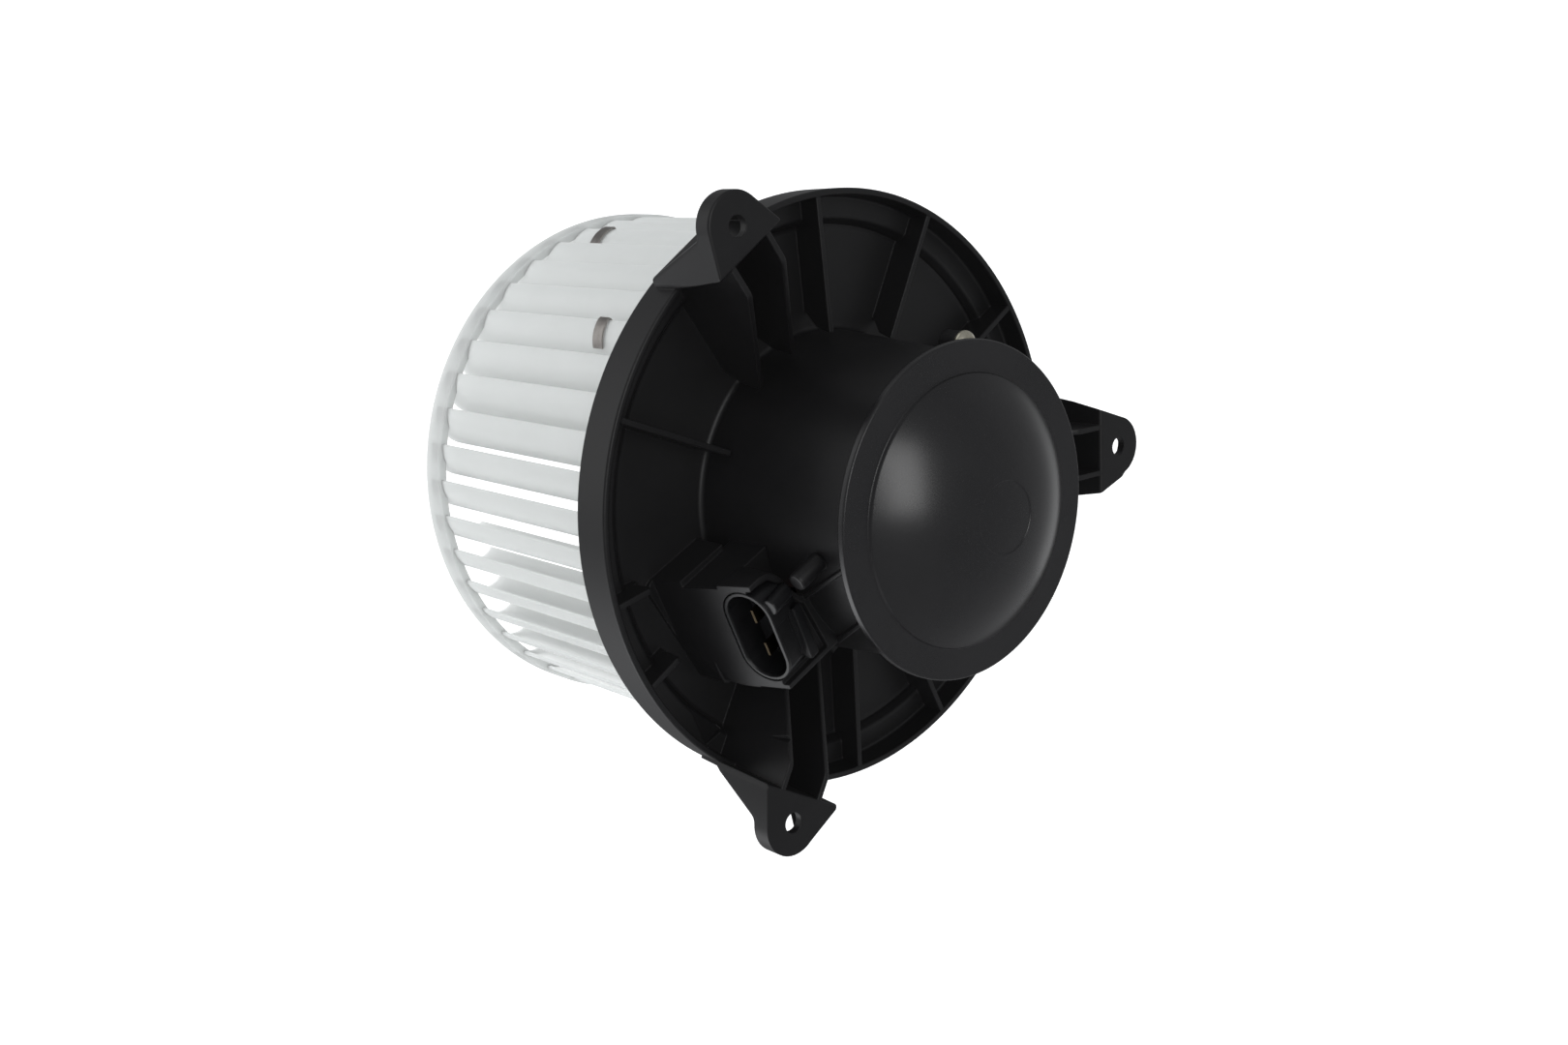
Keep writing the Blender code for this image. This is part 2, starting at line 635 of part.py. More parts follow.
def web_profile():
    """Rear plate, cone over the motor and hub, with a collar for the spring clip."""
    return [(BLADE_OUTER + 0.2, WEB_BACK), (BLADE_OUTER + 0.2, WEB_FRONT), (64.0, WEB_FRONT),
            (58.5, 10.8), (37.0, 30.6), (18.0, 42.6), (11.6, 45.0), (11.6, 49.5), (9.2, 49.5),
            (9.2, 57.0), (BORE_RADIUS, 57.0), (BORE_RADIUS, 36.0), (11.4, 36.0), (12.8, 42.2),
            (35.6, 28.4), (57.2, 8.4), (62.6, WEB_BACK)]


def ring_profile():
    lip = RING_BACK + 2.2
    return [(RING_RADIUS, RING_BACK), (RING_RADIUS, RING_FRONT), (RING_RADIUS - 2.0, RING_FRONT),
            (RING_RADIUS - 2.4, lip), (72.5, lip), (72.5, RING_BACK)]


def build_wheel():
    piece = turned("blower_wheel", web_profile(), WHITE_PLASTIC, steps=BLADE_COUNT)
    additions = helper_collection("wheel_additions")
    ring = helper("ring", profile_mesh("ring", ring_profile()), additions)
    add_screw(ring, 66)
    blades = []
    narrow = BLADE_CUT_TURN
    for number in range(BLADE_COUNT):
        blade = loft("blade", [blade_section(-BLADE_HALF_TURN, WEB_FRONT - 0.8),
                               blade_section(-BLADE_HALF_TURN, 76.0),
                               blade_section(narrow, 80.5),
                               blade_section(narrow, RING_BACK + 0.7)])
        blades.append(turn_mesh(blade, BLADE_START + number * 360.0 / BLADE_COUNT))
    helper("blades", joined_mesh("blades", blades), additions)
    add_boolean(piece, "UNION", additions)


def build_balance_clips():
    """U of spring steel over a blade's outer edge, following the blade's bend."""
    half = BLADE_THICKNESS / 2.0
    near = half + GAP
    far = near + BALANCE_CLIP_THICKNESS
    step = 2.0 * BLADE_HALF_TURN / BLADE_SEGMENTS
    turns = [BALANCE_CLIP_START, BLADE_HALF_TURN - step, BLADE_HALF_TURN]
    tip = BLADE_HALF_TURN + 5.5
    bend = BLADE_HALF_TURN + 2.3
    cap = [blade_vertex(tip, far * 0.9), blade_vertex(tip, -far * 0.9)]
    hollow = [blade_vertex(bend, -near), blade_vertex(bend, near)]
    outer = [blade_point(turn, far) for turn in turns]
    outer_back = [blade_point(turn, -far) for turn in reversed(turns)]
    inner_back = [blade_point(turn, -near) for turn in turns]
    inner = [blade_point(turn, near) for turn in reversed(turns)]
    outline = outer + cap + outer_back + inner_back + hollow + inner
    flipped = [(x, -y) for x, y in outline]
    for number, (blade, axial) in enumerate(BALANCE_CLIPS, 1):
        low = axial - BALANCE_CLIP_WIDTH / 2.0
        mesh = outline_mesh("balance_clip", flipped, low, low + BALANCE_CLIP_WIDTH)
        angle = BLADE_START + blade * 360.0 / BLADE_COUNT
        place(f"balance_clip_{number}", mesh, SPRING_STEEL, turn=angle)


def build_wheel_clip():
    profile = [(9.5, 50.4), (11.0, 50.4), (11.0, 54.8), (9.5, 54.8)]
    turned("wheel_spring_clip", profile, SPRING_STEEL, steps=28)


# Motor --------------------------------------------------------------------------------------

def build_yoke():
    profile = [(YOKE_RADIUS, YOKE_BACK), (YOKE_RADIUS, 15.0), (33.6, YOKE_FRONT), (11.5, YOKE_FRONT),
               (11.5, 22.5), (5.2, 22.5), (5.2, 20.8), (9.6, 20.8), (9.6, 14.6), (32.4, 14.6),
               (YOKE_INNER, 14.0), (YOKE_INNER, YOKE_BACK)]
    turned("motor_yoke", profile, ZINC_STEEL, steps=36)


def build_end_bell():
    profile = [(YOKE_RADIUS, YOKE_BACK - GAP), (YOKE_RADIUS, -49.4), (33.6, -50.6), (11.8, -50.6),
               (11.8, -58.0), (0.0, -58.0), (0.0, -56.6), (9.6, -56.6), (9.6, -49.0), (32.4, -49.0),
               (YOKE_INNER, -48.4), (YOKE_INNER, YOKE_BACK - GAP)]
    turned("end_bell", profile, ZINC_STEEL, steps=36, closed=False)


def bearing_profile(centre):
    """Ball-sided sleeve bearing, which can swivel in its pocket to line up with the shaft."""
    side = arc((0.0, centre), 9.0, -17.5, 17.5, 4)
    return [(BORE_RADIUS, centre - 2.7)] + side + [(BORE_RADIUS, centre + 2.7)]


def build_bearings():
    turned("bearing_front", bearing_profile(17.7), BRONZE, steps=24)
    turned("bearing_rear", bearing_profile(-53.2), BRONZE, steps=24)
    for name, low in (("bearing_retainer_front", 13.9), ("bearing_retainer_rear", -48.7)):
        profile = [(6.2, low), (16.0, low), (16.0, low + 0.4), (6.2, low + 0.4)]
        turned(name, profile, SPRING_STEEL, steps=24)
    for name, low in (("thrust_washer_front", 12.9), ("thrust_washer_rear", -47.9)):
        profile = [(BORE_RADIUS, low), (7.4, low), (7.4, low + 0.7), (BORE_RADIUS, low + 0.7)]
        turned(name, profile, NYLON, steps=24)


def build_magnets():
    for number, angle in enumerate((0.0, 180.0), 1):
        half = MAGNET_SWEEP / 2.0
        outline = arc((0.0, 0.0), YOKE_INNER - 1.5 * GAP, -half, half, 14)
        outline += arc((0.0, 0.0), CORE_RADIUS + 0.9, half, -half, 14)
        mesh = outline_mesh("magnet", outline, -28.0, 10.0)
        place(f"magnet_{number}", mesh, FERRITE, turn=angle)
    for number, angle in enumerate((90.0, -90.0), 1):
        outline = arc((0.0, 0.0), YOKE_INNER - 1.5 * GAP, -20.0, 20.0, 5)
        outline += arc((0.0, 0.0), YOKE_INNER - 1.5 * GAP - 0.9, 20.0, -20.0, 5)
        mesh = outline_mesh("magnet_spring", outline, -22.0, 4.0)
        place(f"magnet_spring_{number}", mesh, SPRING_STEEL, turn=angle)


def build_armature():
    """Shaft, slotted core, end windings and commutator, which turn with the wheel."""
    shaft = [(0.0, SHAFT_BACK), (SHAFT_RADIUS - 0.6, SHAFT_BACK), (SHAFT_RADIUS, SHAFT_BACK + 0.6),
             (SHAFT_RADIUS, SHAFT_FRONT - 0.6), (SHAFT_RADIUS - 0.6, SHAFT_FRONT), (0.0, SHAFT_FRONT)]
    turned("motor_shaft", shaft, GROUND_STEEL, steps=24, closed=False)
    outline = []
    pitch = 360.0 / CORE_SLOTS
    for slot in range(CORE_SLOTS):
        middle = slot * pitch
        reach = pitch / 2.0 - 3.0
        outline += arc((0.0, 0.0), CORE_RADIUS, middle - reach, middle + reach, 3)
        for radius, turn in ((24.2, 3.0), (22.8, 8.5), (13.5, 4.5)):
            angle = math.radians(middle + pitch / 2.0 - turn)
            outline.append((radius * math.cos(angle), radius * math.sin(angle)))
        for radius, turn in ((13.5, 4.5), (22.8, 8.5), (24.2, 3.0)):
            angle = math.radians(middle + pitch / 2.0 + turn)
            outline.append((radius * math.cos(angle), radius * math.sin(angle)))
    core = outline_mesh("armature_core", outline, -22.0, 6.0, [circle(BORE_RADIUS, 24)])
    place("armature_core", core, CORE_STEEL)
    for name, low, high in (("winding_front", 6.3, 12.4), ("winding_rear", -30.4, -22.3)):
        corner = 1.8
        profile = [(9.0, low), (22.6, low), (24.4, low + corner), (24.4, high - corner),
                   (22.6, high), (9.0, high)]
        turned(name, profile, ENAMEL_WIRE, steps=30)
    profile = [(BORE_RADIUS, -42.0), (11.0, -42.0), (11.0, -33.0), (12.6, -33.0), (12.6, -31.0),
               (BORE_RADIUS, -31.0)]
    turned("commutator", profile, COPPER, steps=32)


def build_brush_gear():
    """Brush card with two holders; each brush slides radially and is pressed by its spring."""
    card = outline_mesh("brush_card", circle(32.6, 40), -45.6, -43.6, [circle(14.0, 28)])
    place("brush_card", card, CARD_RESIN)
    across, deep = BRUSH_SIZE
    wall = 0.7
    for number, angle in enumerate(BRUSH_ANGLES, 1):
        inner = flat_bar(across + 2.0 * GAP, deep + 2.0 * GAP)
        outer = flat_bar(across + 2.0 * GAP + 2.0 * wall, deep + 2.0 * GAP + 2.0 * wall)
        holder = brush_mesh("brush_holder", outer, 13.2, HOLDER_END, [inner])
        place(f"brush_holder_{number}", holder, BRASS, turn=angle)
        brush = brush_mesh("brush", flat_bar(across, deep), BRUSH_INNER, BRUSH_OUTER)
        place(f"brush_{number}", brush, CARBON, turn=angle)
        spring = spring_mesh(BRUSH_OUTER + GAP, HOLDER_END - 0.6)
        place(f"brush_spring_{number}", spring, SPRING_STEEL, turn=angle)


def brush_mesh(name, outline, inner, outer, holes=()):
    mesh = outline_mesh(name, outline, inner, outer, holes)
    outward = Matrix(((0, 0, 1, 0), (1, 0, 0, 0), (0, 1, 0, BRUSH_AXIAL * MM), (0, 0, 0, 1)))
    mesh.transform(outward)
    return mesh


def spring_mesh(inner, outer):
    """Small coil spring between the brush and the end of its holder."""
    turns = 3
    steps_per_turn = 8
    radius = 2.2
    wire = 0.35
    curve = bpy.data.curves.new("brush_spring", "CURVE")
    curve.dimensions = "3D"
    curve.bevel_depth = wire * MM
    curve.bevel_resolution = 1
    curve.use_fill_caps = True
    spline = curve.splines.new("POLY")
    count = turns * steps_per_turn
    spline.points.add(count)
    for i, point in enumerate(spline.points):
        angle = 2.0 * math.pi * i / steps_per_turn
        reach = inner + wire + (outer - inner - 2.0 * wire) * i / count
        spot = (reach, radius * math.cos(angle), BRUSH_AXIAL + radius * math.sin(angle))
        point.co = (*[value * MM for value in spot], 1.0)
    return baked_curve("brush_spring", curve)


def build_isolators():
    """Rubber rings between the motor's yoke and the housing's inner wall."""
    inner = YOKE_RADIUS + GAP
    rear = [(inner, -45.6), (inner, -41.0), (41.7, -41.0), (41.7, -45.6)]
    turned("isolator_rear", rear, RUBBER, steps=36)
    front = [(inner, -28.5), (inner, -22.5), (43.4, -22.5), (43.4, -28.5)]
    turned("isolator_front", front, RUBBER, steps=36)


clear_scene()
PARTS = new_collection("blower_motor_wheel")
CUTTERS = new_collection("cutters")
ASSEMBLY = bpy.data.objects.new("motor_axis", None)
ASSEMBLY.rotation_euler = (math.radians(-90.0), 0.0, 0.0)
PARTS.objects.link(ASSEMBLY)

build_flange_housing()
build_end_cover()
build_screws()
build_connector()
build_leads()
build_wheel()
build_balance_clips()
build_wheel_clip()
build_yoke()
build_end_bell()
build_bearings()
build_magnets()
build_armature()
build_brush_gear()
build_isolators()
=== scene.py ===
"""Looks of the heater blower: fine surfaces, materials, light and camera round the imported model.

Pieces are modelled upright, with the motor axis along local Z (axial) and sizes in millimetres,
then laid down so that local Z becomes world Y. Angles are seen from the cover, 0 at +X.
"""
import math

import bmesh
import bpy
from mathutils import Matrix, Vector


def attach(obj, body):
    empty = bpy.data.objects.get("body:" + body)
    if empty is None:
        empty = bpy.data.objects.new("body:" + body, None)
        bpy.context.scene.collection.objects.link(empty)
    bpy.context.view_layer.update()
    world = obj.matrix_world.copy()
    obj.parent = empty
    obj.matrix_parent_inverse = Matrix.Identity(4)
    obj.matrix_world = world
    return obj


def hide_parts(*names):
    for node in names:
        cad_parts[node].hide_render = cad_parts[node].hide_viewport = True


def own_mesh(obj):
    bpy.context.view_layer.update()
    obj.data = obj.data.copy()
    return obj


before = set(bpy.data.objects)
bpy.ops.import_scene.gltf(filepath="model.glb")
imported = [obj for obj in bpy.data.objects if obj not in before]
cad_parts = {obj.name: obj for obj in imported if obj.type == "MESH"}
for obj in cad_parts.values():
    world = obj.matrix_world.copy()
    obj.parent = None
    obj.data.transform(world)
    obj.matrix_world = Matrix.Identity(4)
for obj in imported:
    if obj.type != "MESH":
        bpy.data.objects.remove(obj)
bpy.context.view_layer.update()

MM = 0.001
LAID_DOWN = Matrix.Rotation(math.radians(-90.0), 4, "X")


# Mesh tools -----------------------------------------------------------------------------------

def arc(centre, radius, start, end, count):
    points = []
    for i in range(count + 1):
        angle = math.radians(start + (end - start) * i / count)
        points.append((centre[0] + radius * math.cos(angle), centre[1] + radius * math.sin(angle)))
    return points


def circle(radius, count, centre=(0.0, 0.0)):
    return arc(centre, radius, 0.0, 360.0, count)[:-1]


def obround(length, height, count=12):
    reach = (length - height) / 2.0
    right = arc((reach, 0.0), height / 2.0, -90.0, 90.0, count)
    return right + arc((-reach, 0.0), height / 2.0, 90.0, 270.0, count)


def rounded(corners, closed=True):
    """Round the corners of an outline: each corner is (x, y) or (x, y, radius)."""
    points = []
    count = len(corners)
    for i, corner in enumerate(corners):
        here = Vector(corner[:2])
        radius = corner[2] if len(corner) > 2 else 0.0
        open_end = not closed and i in (0, count - 1)
        if radius == 0.0 or open_end:
            points.append(tuple(here))
            continue
        before = (Vector(corners[i - 1][:2]) - here).normalized()
        after = (Vector(corners[(i + 1) % count][:2]) - here).normalized()
        half = before.angle(after) / 2.0
        middle = here + (before + after).normalized() * (radius / math.sin(half))
        start = here + before * (radius / math.tan(half)) - middle
        end = here + after * (radius / math.tan(half)) - middle
        turn = start.angle_signed(end)
        steps = max(2, math.ceil(abs(turn) / math.radians(18.0)))
        for k in range(steps + 1):
            angle = -turn * k / steps
            spoke = Vector((start.x * math.cos(angle) - start.y * math.sin(angle),
                            start.x * math.sin(angle) + start.y * math.cos(angle)))
            points.append(tuple(middle + spoke))
    return points


def shifted(outline, across, up=0.0):
    return [(x + across, y + up) for x, y in outline]


def bar(width, height):
    return [(-width / 2.0, -height / 2.0), (width / 2.0, -height / 2.0),
            (width / 2.0, height / 2.0), (-width / 2.0, height / 2.0)]


def smooth_path(points, count=6):
    """A Catmull-Rom curve through the points."""
    ends = [points[0]] + list(points) + [points[-1]]
    path = []
    for a, b, c, d in zip(ends, ends[1:], ends[2:], ends[3:]):
        for k in range(count):
            t = k / count
            path.append(tuple(0.5 * (2 * q + (r - p) * t + (2 * p - 5 * q + 4 * r - s) * t * t
                                     + (3 * q - p - 3 * r + s) * t ** 3)
                              for p, q, r, s in zip(a, b, c, d)))
    return path + [points[-1]]


def to_mesh(work, name):
    bmesh.ops.recalc_face_normals(work, faces=work.faces)
    mesh = bpy.data.meshes.new(name)
    work.to_mesh(mesh)
    work.free()
    return mesh


def round_edges(mesh, width, segments=2, sharper_than=25.0):
    """Round every edge of a mesh that turns by more than an angle."""
    work = bmesh.new()
    work.from_mesh(mesh)
    limit = math.radians(sharper_than)
    edges = [e for e in work.edges if len(e.link_faces) == 2 and e.calc_face_angle() > limit]
    bmesh.ops.bevel(work, geom=edges, offset=width * MM, segments=segments, profile=0.5,
                    affect="EDGES", clamp_overlap=True)
    work.to_mesh(mesh)
    work.free()
    return mesh


def turned(name, profile, steps=144):
    """A closed profile of (radius, axial) points spun about the motor axis."""
    work = bmesh.new()
    verts = [work.verts.new((r * MM, 0.0, z * MM)) for r, z in profile]
    edges = [work.edges.new((a, b)) for a, b in zip(verts, verts[1:] + verts[:1])
             if not (a.co.x == 0.0 and b.co.x == 0.0)]
    bmesh.ops.spin(work, geom=verts + edges, cent=(0, 0, 0), axis=(0, 0, 1), dvec=(0, 0, 0),
                   angle=2.0 * math.pi, steps=steps, use_merge=True, use_duplicate=False)
    bmesh.ops.remove_doubles(work, verts=work.verts, dist=0.000001)
    return to_mesh(work, name)


def prism(name, outline, low, high, edge=0.0):
    """An outline extruded from axial low to high, with its edges rounded by edge mm."""
    work = bmesh.new()
    face = work.faces.new([work.verts.new((x * MM, y * MM, low * MM)) for x, y in outline])
    grown = bmesh.ops.extrude_face_region(work, geom=[face])["geom"]
    top = [v for v in grown if isinstance(v, bmesh.types.BMVert)]
    bmesh.ops.translate(work, verts=top, vec=(0.0, 0.0, (high - low) * MM))
    mesh = to_mesh(work, name)
    return round_edges(mesh, edge) if edge else mesh


def loft(name, sections):
    """Join a stack of like sections, each a list of 3-D points in mm, into a closed solid."""
    work = bmesh.new()
    rings = [[work.verts.new([v * MM for v in point]) for point in section] for section in sections]
    size = len(sections[0])
    for low, high in zip(rings, rings[1:]):
        for i in range(size):
            j = (i + 1) % size
            work.faces.new((low[i], low[j], high[j], high[i]))
    work.faces.new(rings[0][::-1])
    work.faces.new(rings[-1])
    return to_mesh(work, name)


def joined(name, meshes):
    work = bmesh.new()
    for mesh in meshes:
        work.from_mesh(mesh)
    mesh = bpy.data.meshes.new(name)
    work.to_mesh(mesh)
    work.free()
    return mesh


def upright(mesh, offset=0.0):
    """Stand a mesh drawn in (radial, axial) up along a radius, offset sideways."""
    mesh.transform(Matrix(((1, 0, 0, 0), (0, 0, 1, offset * MM), (0, 1, 0, 0), (0, 0, 0, 1))))
    mesh.flip_normals()
    return mesh


def at_angle(mesh, angle):
    mesh.transform(Matrix.Rotation(-math.radians(angle), 4, "Z"))
    return mesh


def combine(base, steps):
    """Apply a list of (operation, mesh) Booleans to a mesh and return the result."""
    subject = bpy.data.objects.new("subject", base)
    bpy.context.scene.collection.objects.link(subject)
    tools = []
    for operation, mesh in steps:
        tool = bpy.data.objects.new("tool", mesh)
        bpy.context.scene.collection.objects.link(tool)
        tools.append(tool)
        boolean = subject.modifiers.new("Boolean", "BOOLEAN")
        boolean.operation = operation
        boolean.solver = "MANIFOLD"
        boolean.object = tool
    graph = bpy.context.evaluated_depsgraph_get()
    result = bpy.data.meshes.new_from_object(subject.evaluated_get(graph))
    for used in [subject] + tools:
        bpy.data.objects.remove(used)
    return result


def finished(name, mesh, material, body, node, sharp=32.0):
    """Lay a mesh down in the row frame, shade it, and let it stand for its CAD node."""
    mesh.name = name
    mesh.transform(LAID_DOWN)
    mesh.materials.clear()
    mesh.materials.append(material)
    mesh.shade_smooth()
    mesh.set_sharp_from_angle(angle=math.radians(sharp))
    piece = bpy.data.objects.new(name, mesh)
    bpy.context.scene.collection.objects.link(piece)
    weighted = piece.modifiers.new("Weighted normals", "WEIGHTED_NORMAL")
    weighted.keep_sharp = True
    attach(piece, body)
    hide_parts(node)
    return piece


# Flange and motor housing -----------------------------------------------------------------------

RIM_FRONT = -13.0
RIB_TOP = -12.7
RIB_THICKNESS = 1.8
HOUSING_FRONT = -59.4
BAY_ANGLE = 212.0
BAY_ROOF = -27.5
BAY_LOWER = -17.0
BAY_UPPER = 16.6
TRAY_TOP = -38.2
TRAY_FLOOR = -36.2
SOCKET_ANGLE = 206.0
SOCKET_LEAN = math.radians(11.3)
SOCKET_PLACE = (62.4, -5.8, -33.6)
SOCKET_LENGTH = 29.4
SOCKET_HEIGHT = 16.2
SOCKET_DEPTH = 11.0
SCREW_CIRCLE = 47.5
SCREW_ANGLES = (68.5, -53.5)
BOSS_TOP = -42.2
DISC_DEPTH = 0.28
EAR_TOP = -34.5
EAR_UNDER = -28.7
# Ears: angle, hole radius, radius of the pad's inner edge, half widths on both sides,
# how much wider the foot is, and where the gussets end on the rim (radius and axial place)
EARS = ((127.5, 99.4, 91.2, 13.6, 13.6, 0.0, (91.2, -4.4)),
        (3.35, 101.2, 92.4, 14.0, 14.4, 4.0, (91.5, -6.0)),
        (-114.8, 97.3, 89.0, 14.8, 13.8, 0.0, (89.3, -11.5)))
PAD_THICKNESS = 2.4
EAR_WALL = 2.5
EAR_TIP_RADIUS = 9.7
EAR_HOLE_RADIUS = 3.0
RIB_ANGLES = (161.5, 98.0, 67.5, 36.0, -33.0, -61.0, -86.0)
SHORT_RIB_ANGLES = (-147.0, -164.5)


def flange_profile():
    return rounded([(88.9, 0.0, 0.4), (89.34, RIM_FRONT, 0.7), (87.4, RIM_FRONT, 0.5),
                    (86.9, -5.6, 0.9), (80.6, -5.6, 1.6), (78.4, -2.4, 1.6), (47.6, -2.4, 1.6),
                    (44.7, -42.0), (43.8, HOUSING_FRONT, 0.4), (41.3, HOUSING_FRONT, 0.4),
                    (42.2, -42.0), (45.2, -6.0, 5.0), (49.6, 0.0, 0.5), (76.8, 0.0, 1.2),
                    (79.0, -3.2, 1.2), (86.8, -3.2, 0.8), (86.8, 0.0, 0.3)])


def rib_foot():
    return [(47.4, -14.0), (49.2, -7.0), (55.0, -1.2), (77.4, -1.2), (80.4, -4.4), (88.0, -4.4)]


def plate_ribs():
    ribs = []
    for angle in RIB_ANGLES:
        outline = [(47.6, RIB_TOP)] + rib_foot()[1:] + [(88.2, RIB_TOP)]
        rib = prism("rib", outline, -RIB_THICKNESS / 2.0, RIB_THICKNESS / 2.0, 0.35)
        ribs.append(at_angle(upright(rib), angle))
    for angle in SHORT_RIB_ANGLES:
        outline = rounded([(75.6, RIB_TOP + 0.5, 1.0), (74.4, -1.2)] + rib_foot()[3:]
                          + [(88.2, RIB_TOP)])
        rib = prism("rib", outline, -RIB_THICKNESS / 2.0, RIB_THICKNESS / 2.0, 0.35)
        ribs.append(at_angle(upright(rib), angle))
    return ribs


def tab_outline(hole, low, high, shrink=0.0):
    """Outline of an ear: a round tip whose sides run out to half widths low and high."""
    tip = arc((hole, 0.0), EAR_TIP_RADIUS - shrink, -68.0, 68.0, 20)
    return [(86.0, shrink - low), (90.5, shrink - low), *tip, (90.5, high - shrink),
            (86.0, high - shrink)]


def ear(angle, hole, edge, low, high, draft, heel):
    """One mounting ear: the solid to add, its two ribs, and the pocket and hole to cut."""
    sections = [[(x, y, axial) for x, y in tab_outline(hole, low + wider, high + wider)]
                for axial, wider in ((-40.0, 0.0), (0.0, draft))]
    side = rounded([(87.6, -4.0), (87.9, RIM_FRONT), (edge, EAR_TOP, 1.2), (116.0, EAR_TOP),
                    (116.0, EAR_UNDER), (hole + 2.2, EAR_UNDER, 2.5), heel, (88.8, -4.0)])
    solid = combine(loft("ear", sections),
                    [("INTERSECT", upright(prism("side", side, -24.0, 24.0)))])
    round_edges(solid, 0.7, 3, 40.0)
    pocket = tab_outline(hole, low, high, EAR_WALL)[1:-1]
    pocket[0] = (92.9, pocket[0][1] + 0.4)
    pocket[-1] = (92.9, pocket[-1][1] - 0.4)
    cuts = [prism("pocket", pocket, EAR_TOP + PAD_THICKNESS, 2.0),
            prism("hole", circle(EAR_HOLE_RADIUS, 40, (hole, 0.0)), -40.0, -20.0)]
    ribs = []
    for offset in (-7.5, 7.5):
        outline = rib_foot() + [(88.4, RIM_FRONT), (edge + 0.7, EAR_TOP + 0.3)]
        outline += rounded([(edge + 0.7, EAR_TOP + 0.3), (82.0, EAR_TOP + 0.3, 4.0), (47.4, -14.0)],
                           closed=False)[1:-1]
        rib = prism("rib", outline, -RIB_THICKNESS / 2.0, RIB_THICKNESS / 2.0, 0.35)
        ribs.append(at_angle(upright(rib, offset), angle))
    return [at_angle(solid, angle)] + ribs, [at_angle(cut, angle) for cut in cuts]


def in_socket(mesh):
    """Move a mesh drawn in (sideways, height, outward) to the socket, whose mouth is at 0."""
    lean = SOCKET_LEAN
    out, sideways, axial = [value * MM for value in SOCKET_PLACE]
    mesh.transform(Matrix(((0, math.sin(lean), math.cos(lean), out), (1, 0, 0, sideways),
                           (0, math.cos(lean), -math.sin(lean), axial), (0, 0, 0, 1))))
    return at_angle(mesh, SOCKET_ANGLE)


def rail(start, end):
    """A lead rail that climbs the housing's wall from the tray to the cover."""
    sections = []
    for i in range(13):
        sideways, axial = [a + (b - a) * i / 12 for a, b in zip(start, end)]
        wall = 45.1 + (44.0 - 45.1) * i / 12
        section = []
        for radius, offset in ((43.0, -0.9), (wall + 1.0, -0.8), (wall + 1.3, -0.4),
                               (wall + 1.3, 0.4), (wall + 1.0, 0.8), (43.0, 0.9)):
            angle = math.asin((sideways + offset) / 45.0)
            section.append((radius * math.cos(angle), radius * math.sin(angle), axial))
        sections.append(section)
    return loft("rail", sections)


def connector_bay():
    """Box on the housing's side, with the walled tray on its roof that holds the connector."""
    foot = arc((0.0, 0.0), 50.6, 20.5, -20.5, 12)
    foot += rounded([foot[-1], (68.0, BAY_LOWER - 1.0, 1.6), (70.0, BAY_UPPER + 2.0, 3.0), foot[0]],
                    closed=False)[1:-1]
    box = arc((0.0, 0.0), 46.0, 20.5, -20.5, 12)
    box += rounded([box[-1], (67.6, BAY_LOWER, 1.6), (67.6, BAY_UPPER, 3.0), box[0]],
                   closed=False)[1:-1]
    outer = smooth_path([(66.0, 17.6), (59.3, 17.6), (54.8, 17.2), (51.7, 15.6), (49.6, 11.8),
                         (48.5, 7.4), (47.2, 4.2), (45.1, 2.2)])
    tray = arc((0.0, 0.0), 43.9, 2.6, -23.2, 12) + [(52.6, -17.0), (66.0, -16.6)] + outer
    inner = smooth_path([(66.0, 15.9), (59.3, 15.9), (55.2, 15.5), (53.2, 14.2), (51.2, 10.9),
                         (50.1, 6.8), (48.6, 3.2), (47.0, 0.8)])
    floor = [(46.6, -15.6), (52.6, -15.4), (66.0, -15.2)] + inner
    tray_block = prism("tray", tray, TRAY_TOP, BAY_ROOF + 1.0)
    tray_block = combine(tray_block, [("DIFFERENCE", prism("pocket", floor, -50.0, TRAY_FLOOR))])
    round_edges(tray_block, 0.35, 2, 50.0)
    stub = prism("stub", circle(2.7, 32), 42.0, 52.0, 0.9)
    stub.transform(Matrix(((0, 0, 1, 0), (0, 1, 0, 14.2 * MM), (-1, 0, 0, -47.5 * MM),
                           (0, 0, 0, 1))))
    face = [(-36.0, -14.0), (36.0, -14.0), (36.0, 30.6), (-36.0, 30.6)]
    seat = obround(SOCKET_LENGTH + 0.6, SOCKET_HEIGHT + 0.6, 16)
    passage = [(38.0, -12.0), (52.6, -12.0), (52.6, 8.4), (48.6, 8.4), (46.6, 4.6), (38.0, 1.4)]
    room = [(54.2, BAY_LOWER + 2.4), (63.4, BAY_LOWER + 2.4), (63.4, BAY_UPPER - 2.4),
            (54.2, BAY_UPPER - 2.4)]
    added = [prism("foot", foot, -14.0, -1.2), prism("box", box, BAY_ROOF, -13.0), tray_block,
             rail((1.6, -37.4), (14.0, -58.6)), rail((-17.2, -37.4), (-2.6, -58.6)), stub]
    cuts = [prism("window", passage, -34.4, -28.6), prism("hollow", room, -20.6, 2.0)]
    cuts = [at_angle(mesh, BAY_ANGLE) for mesh in cuts]
    cuts += [in_socket(prism("face", face, 0.0, 7.0)),
             in_socket(prism("seat", seat, -SOCKET_DEPTH - 0.3, 1.0))]
    return [at_angle(mesh, BAY_ANGLE) for mesh in added], cuts


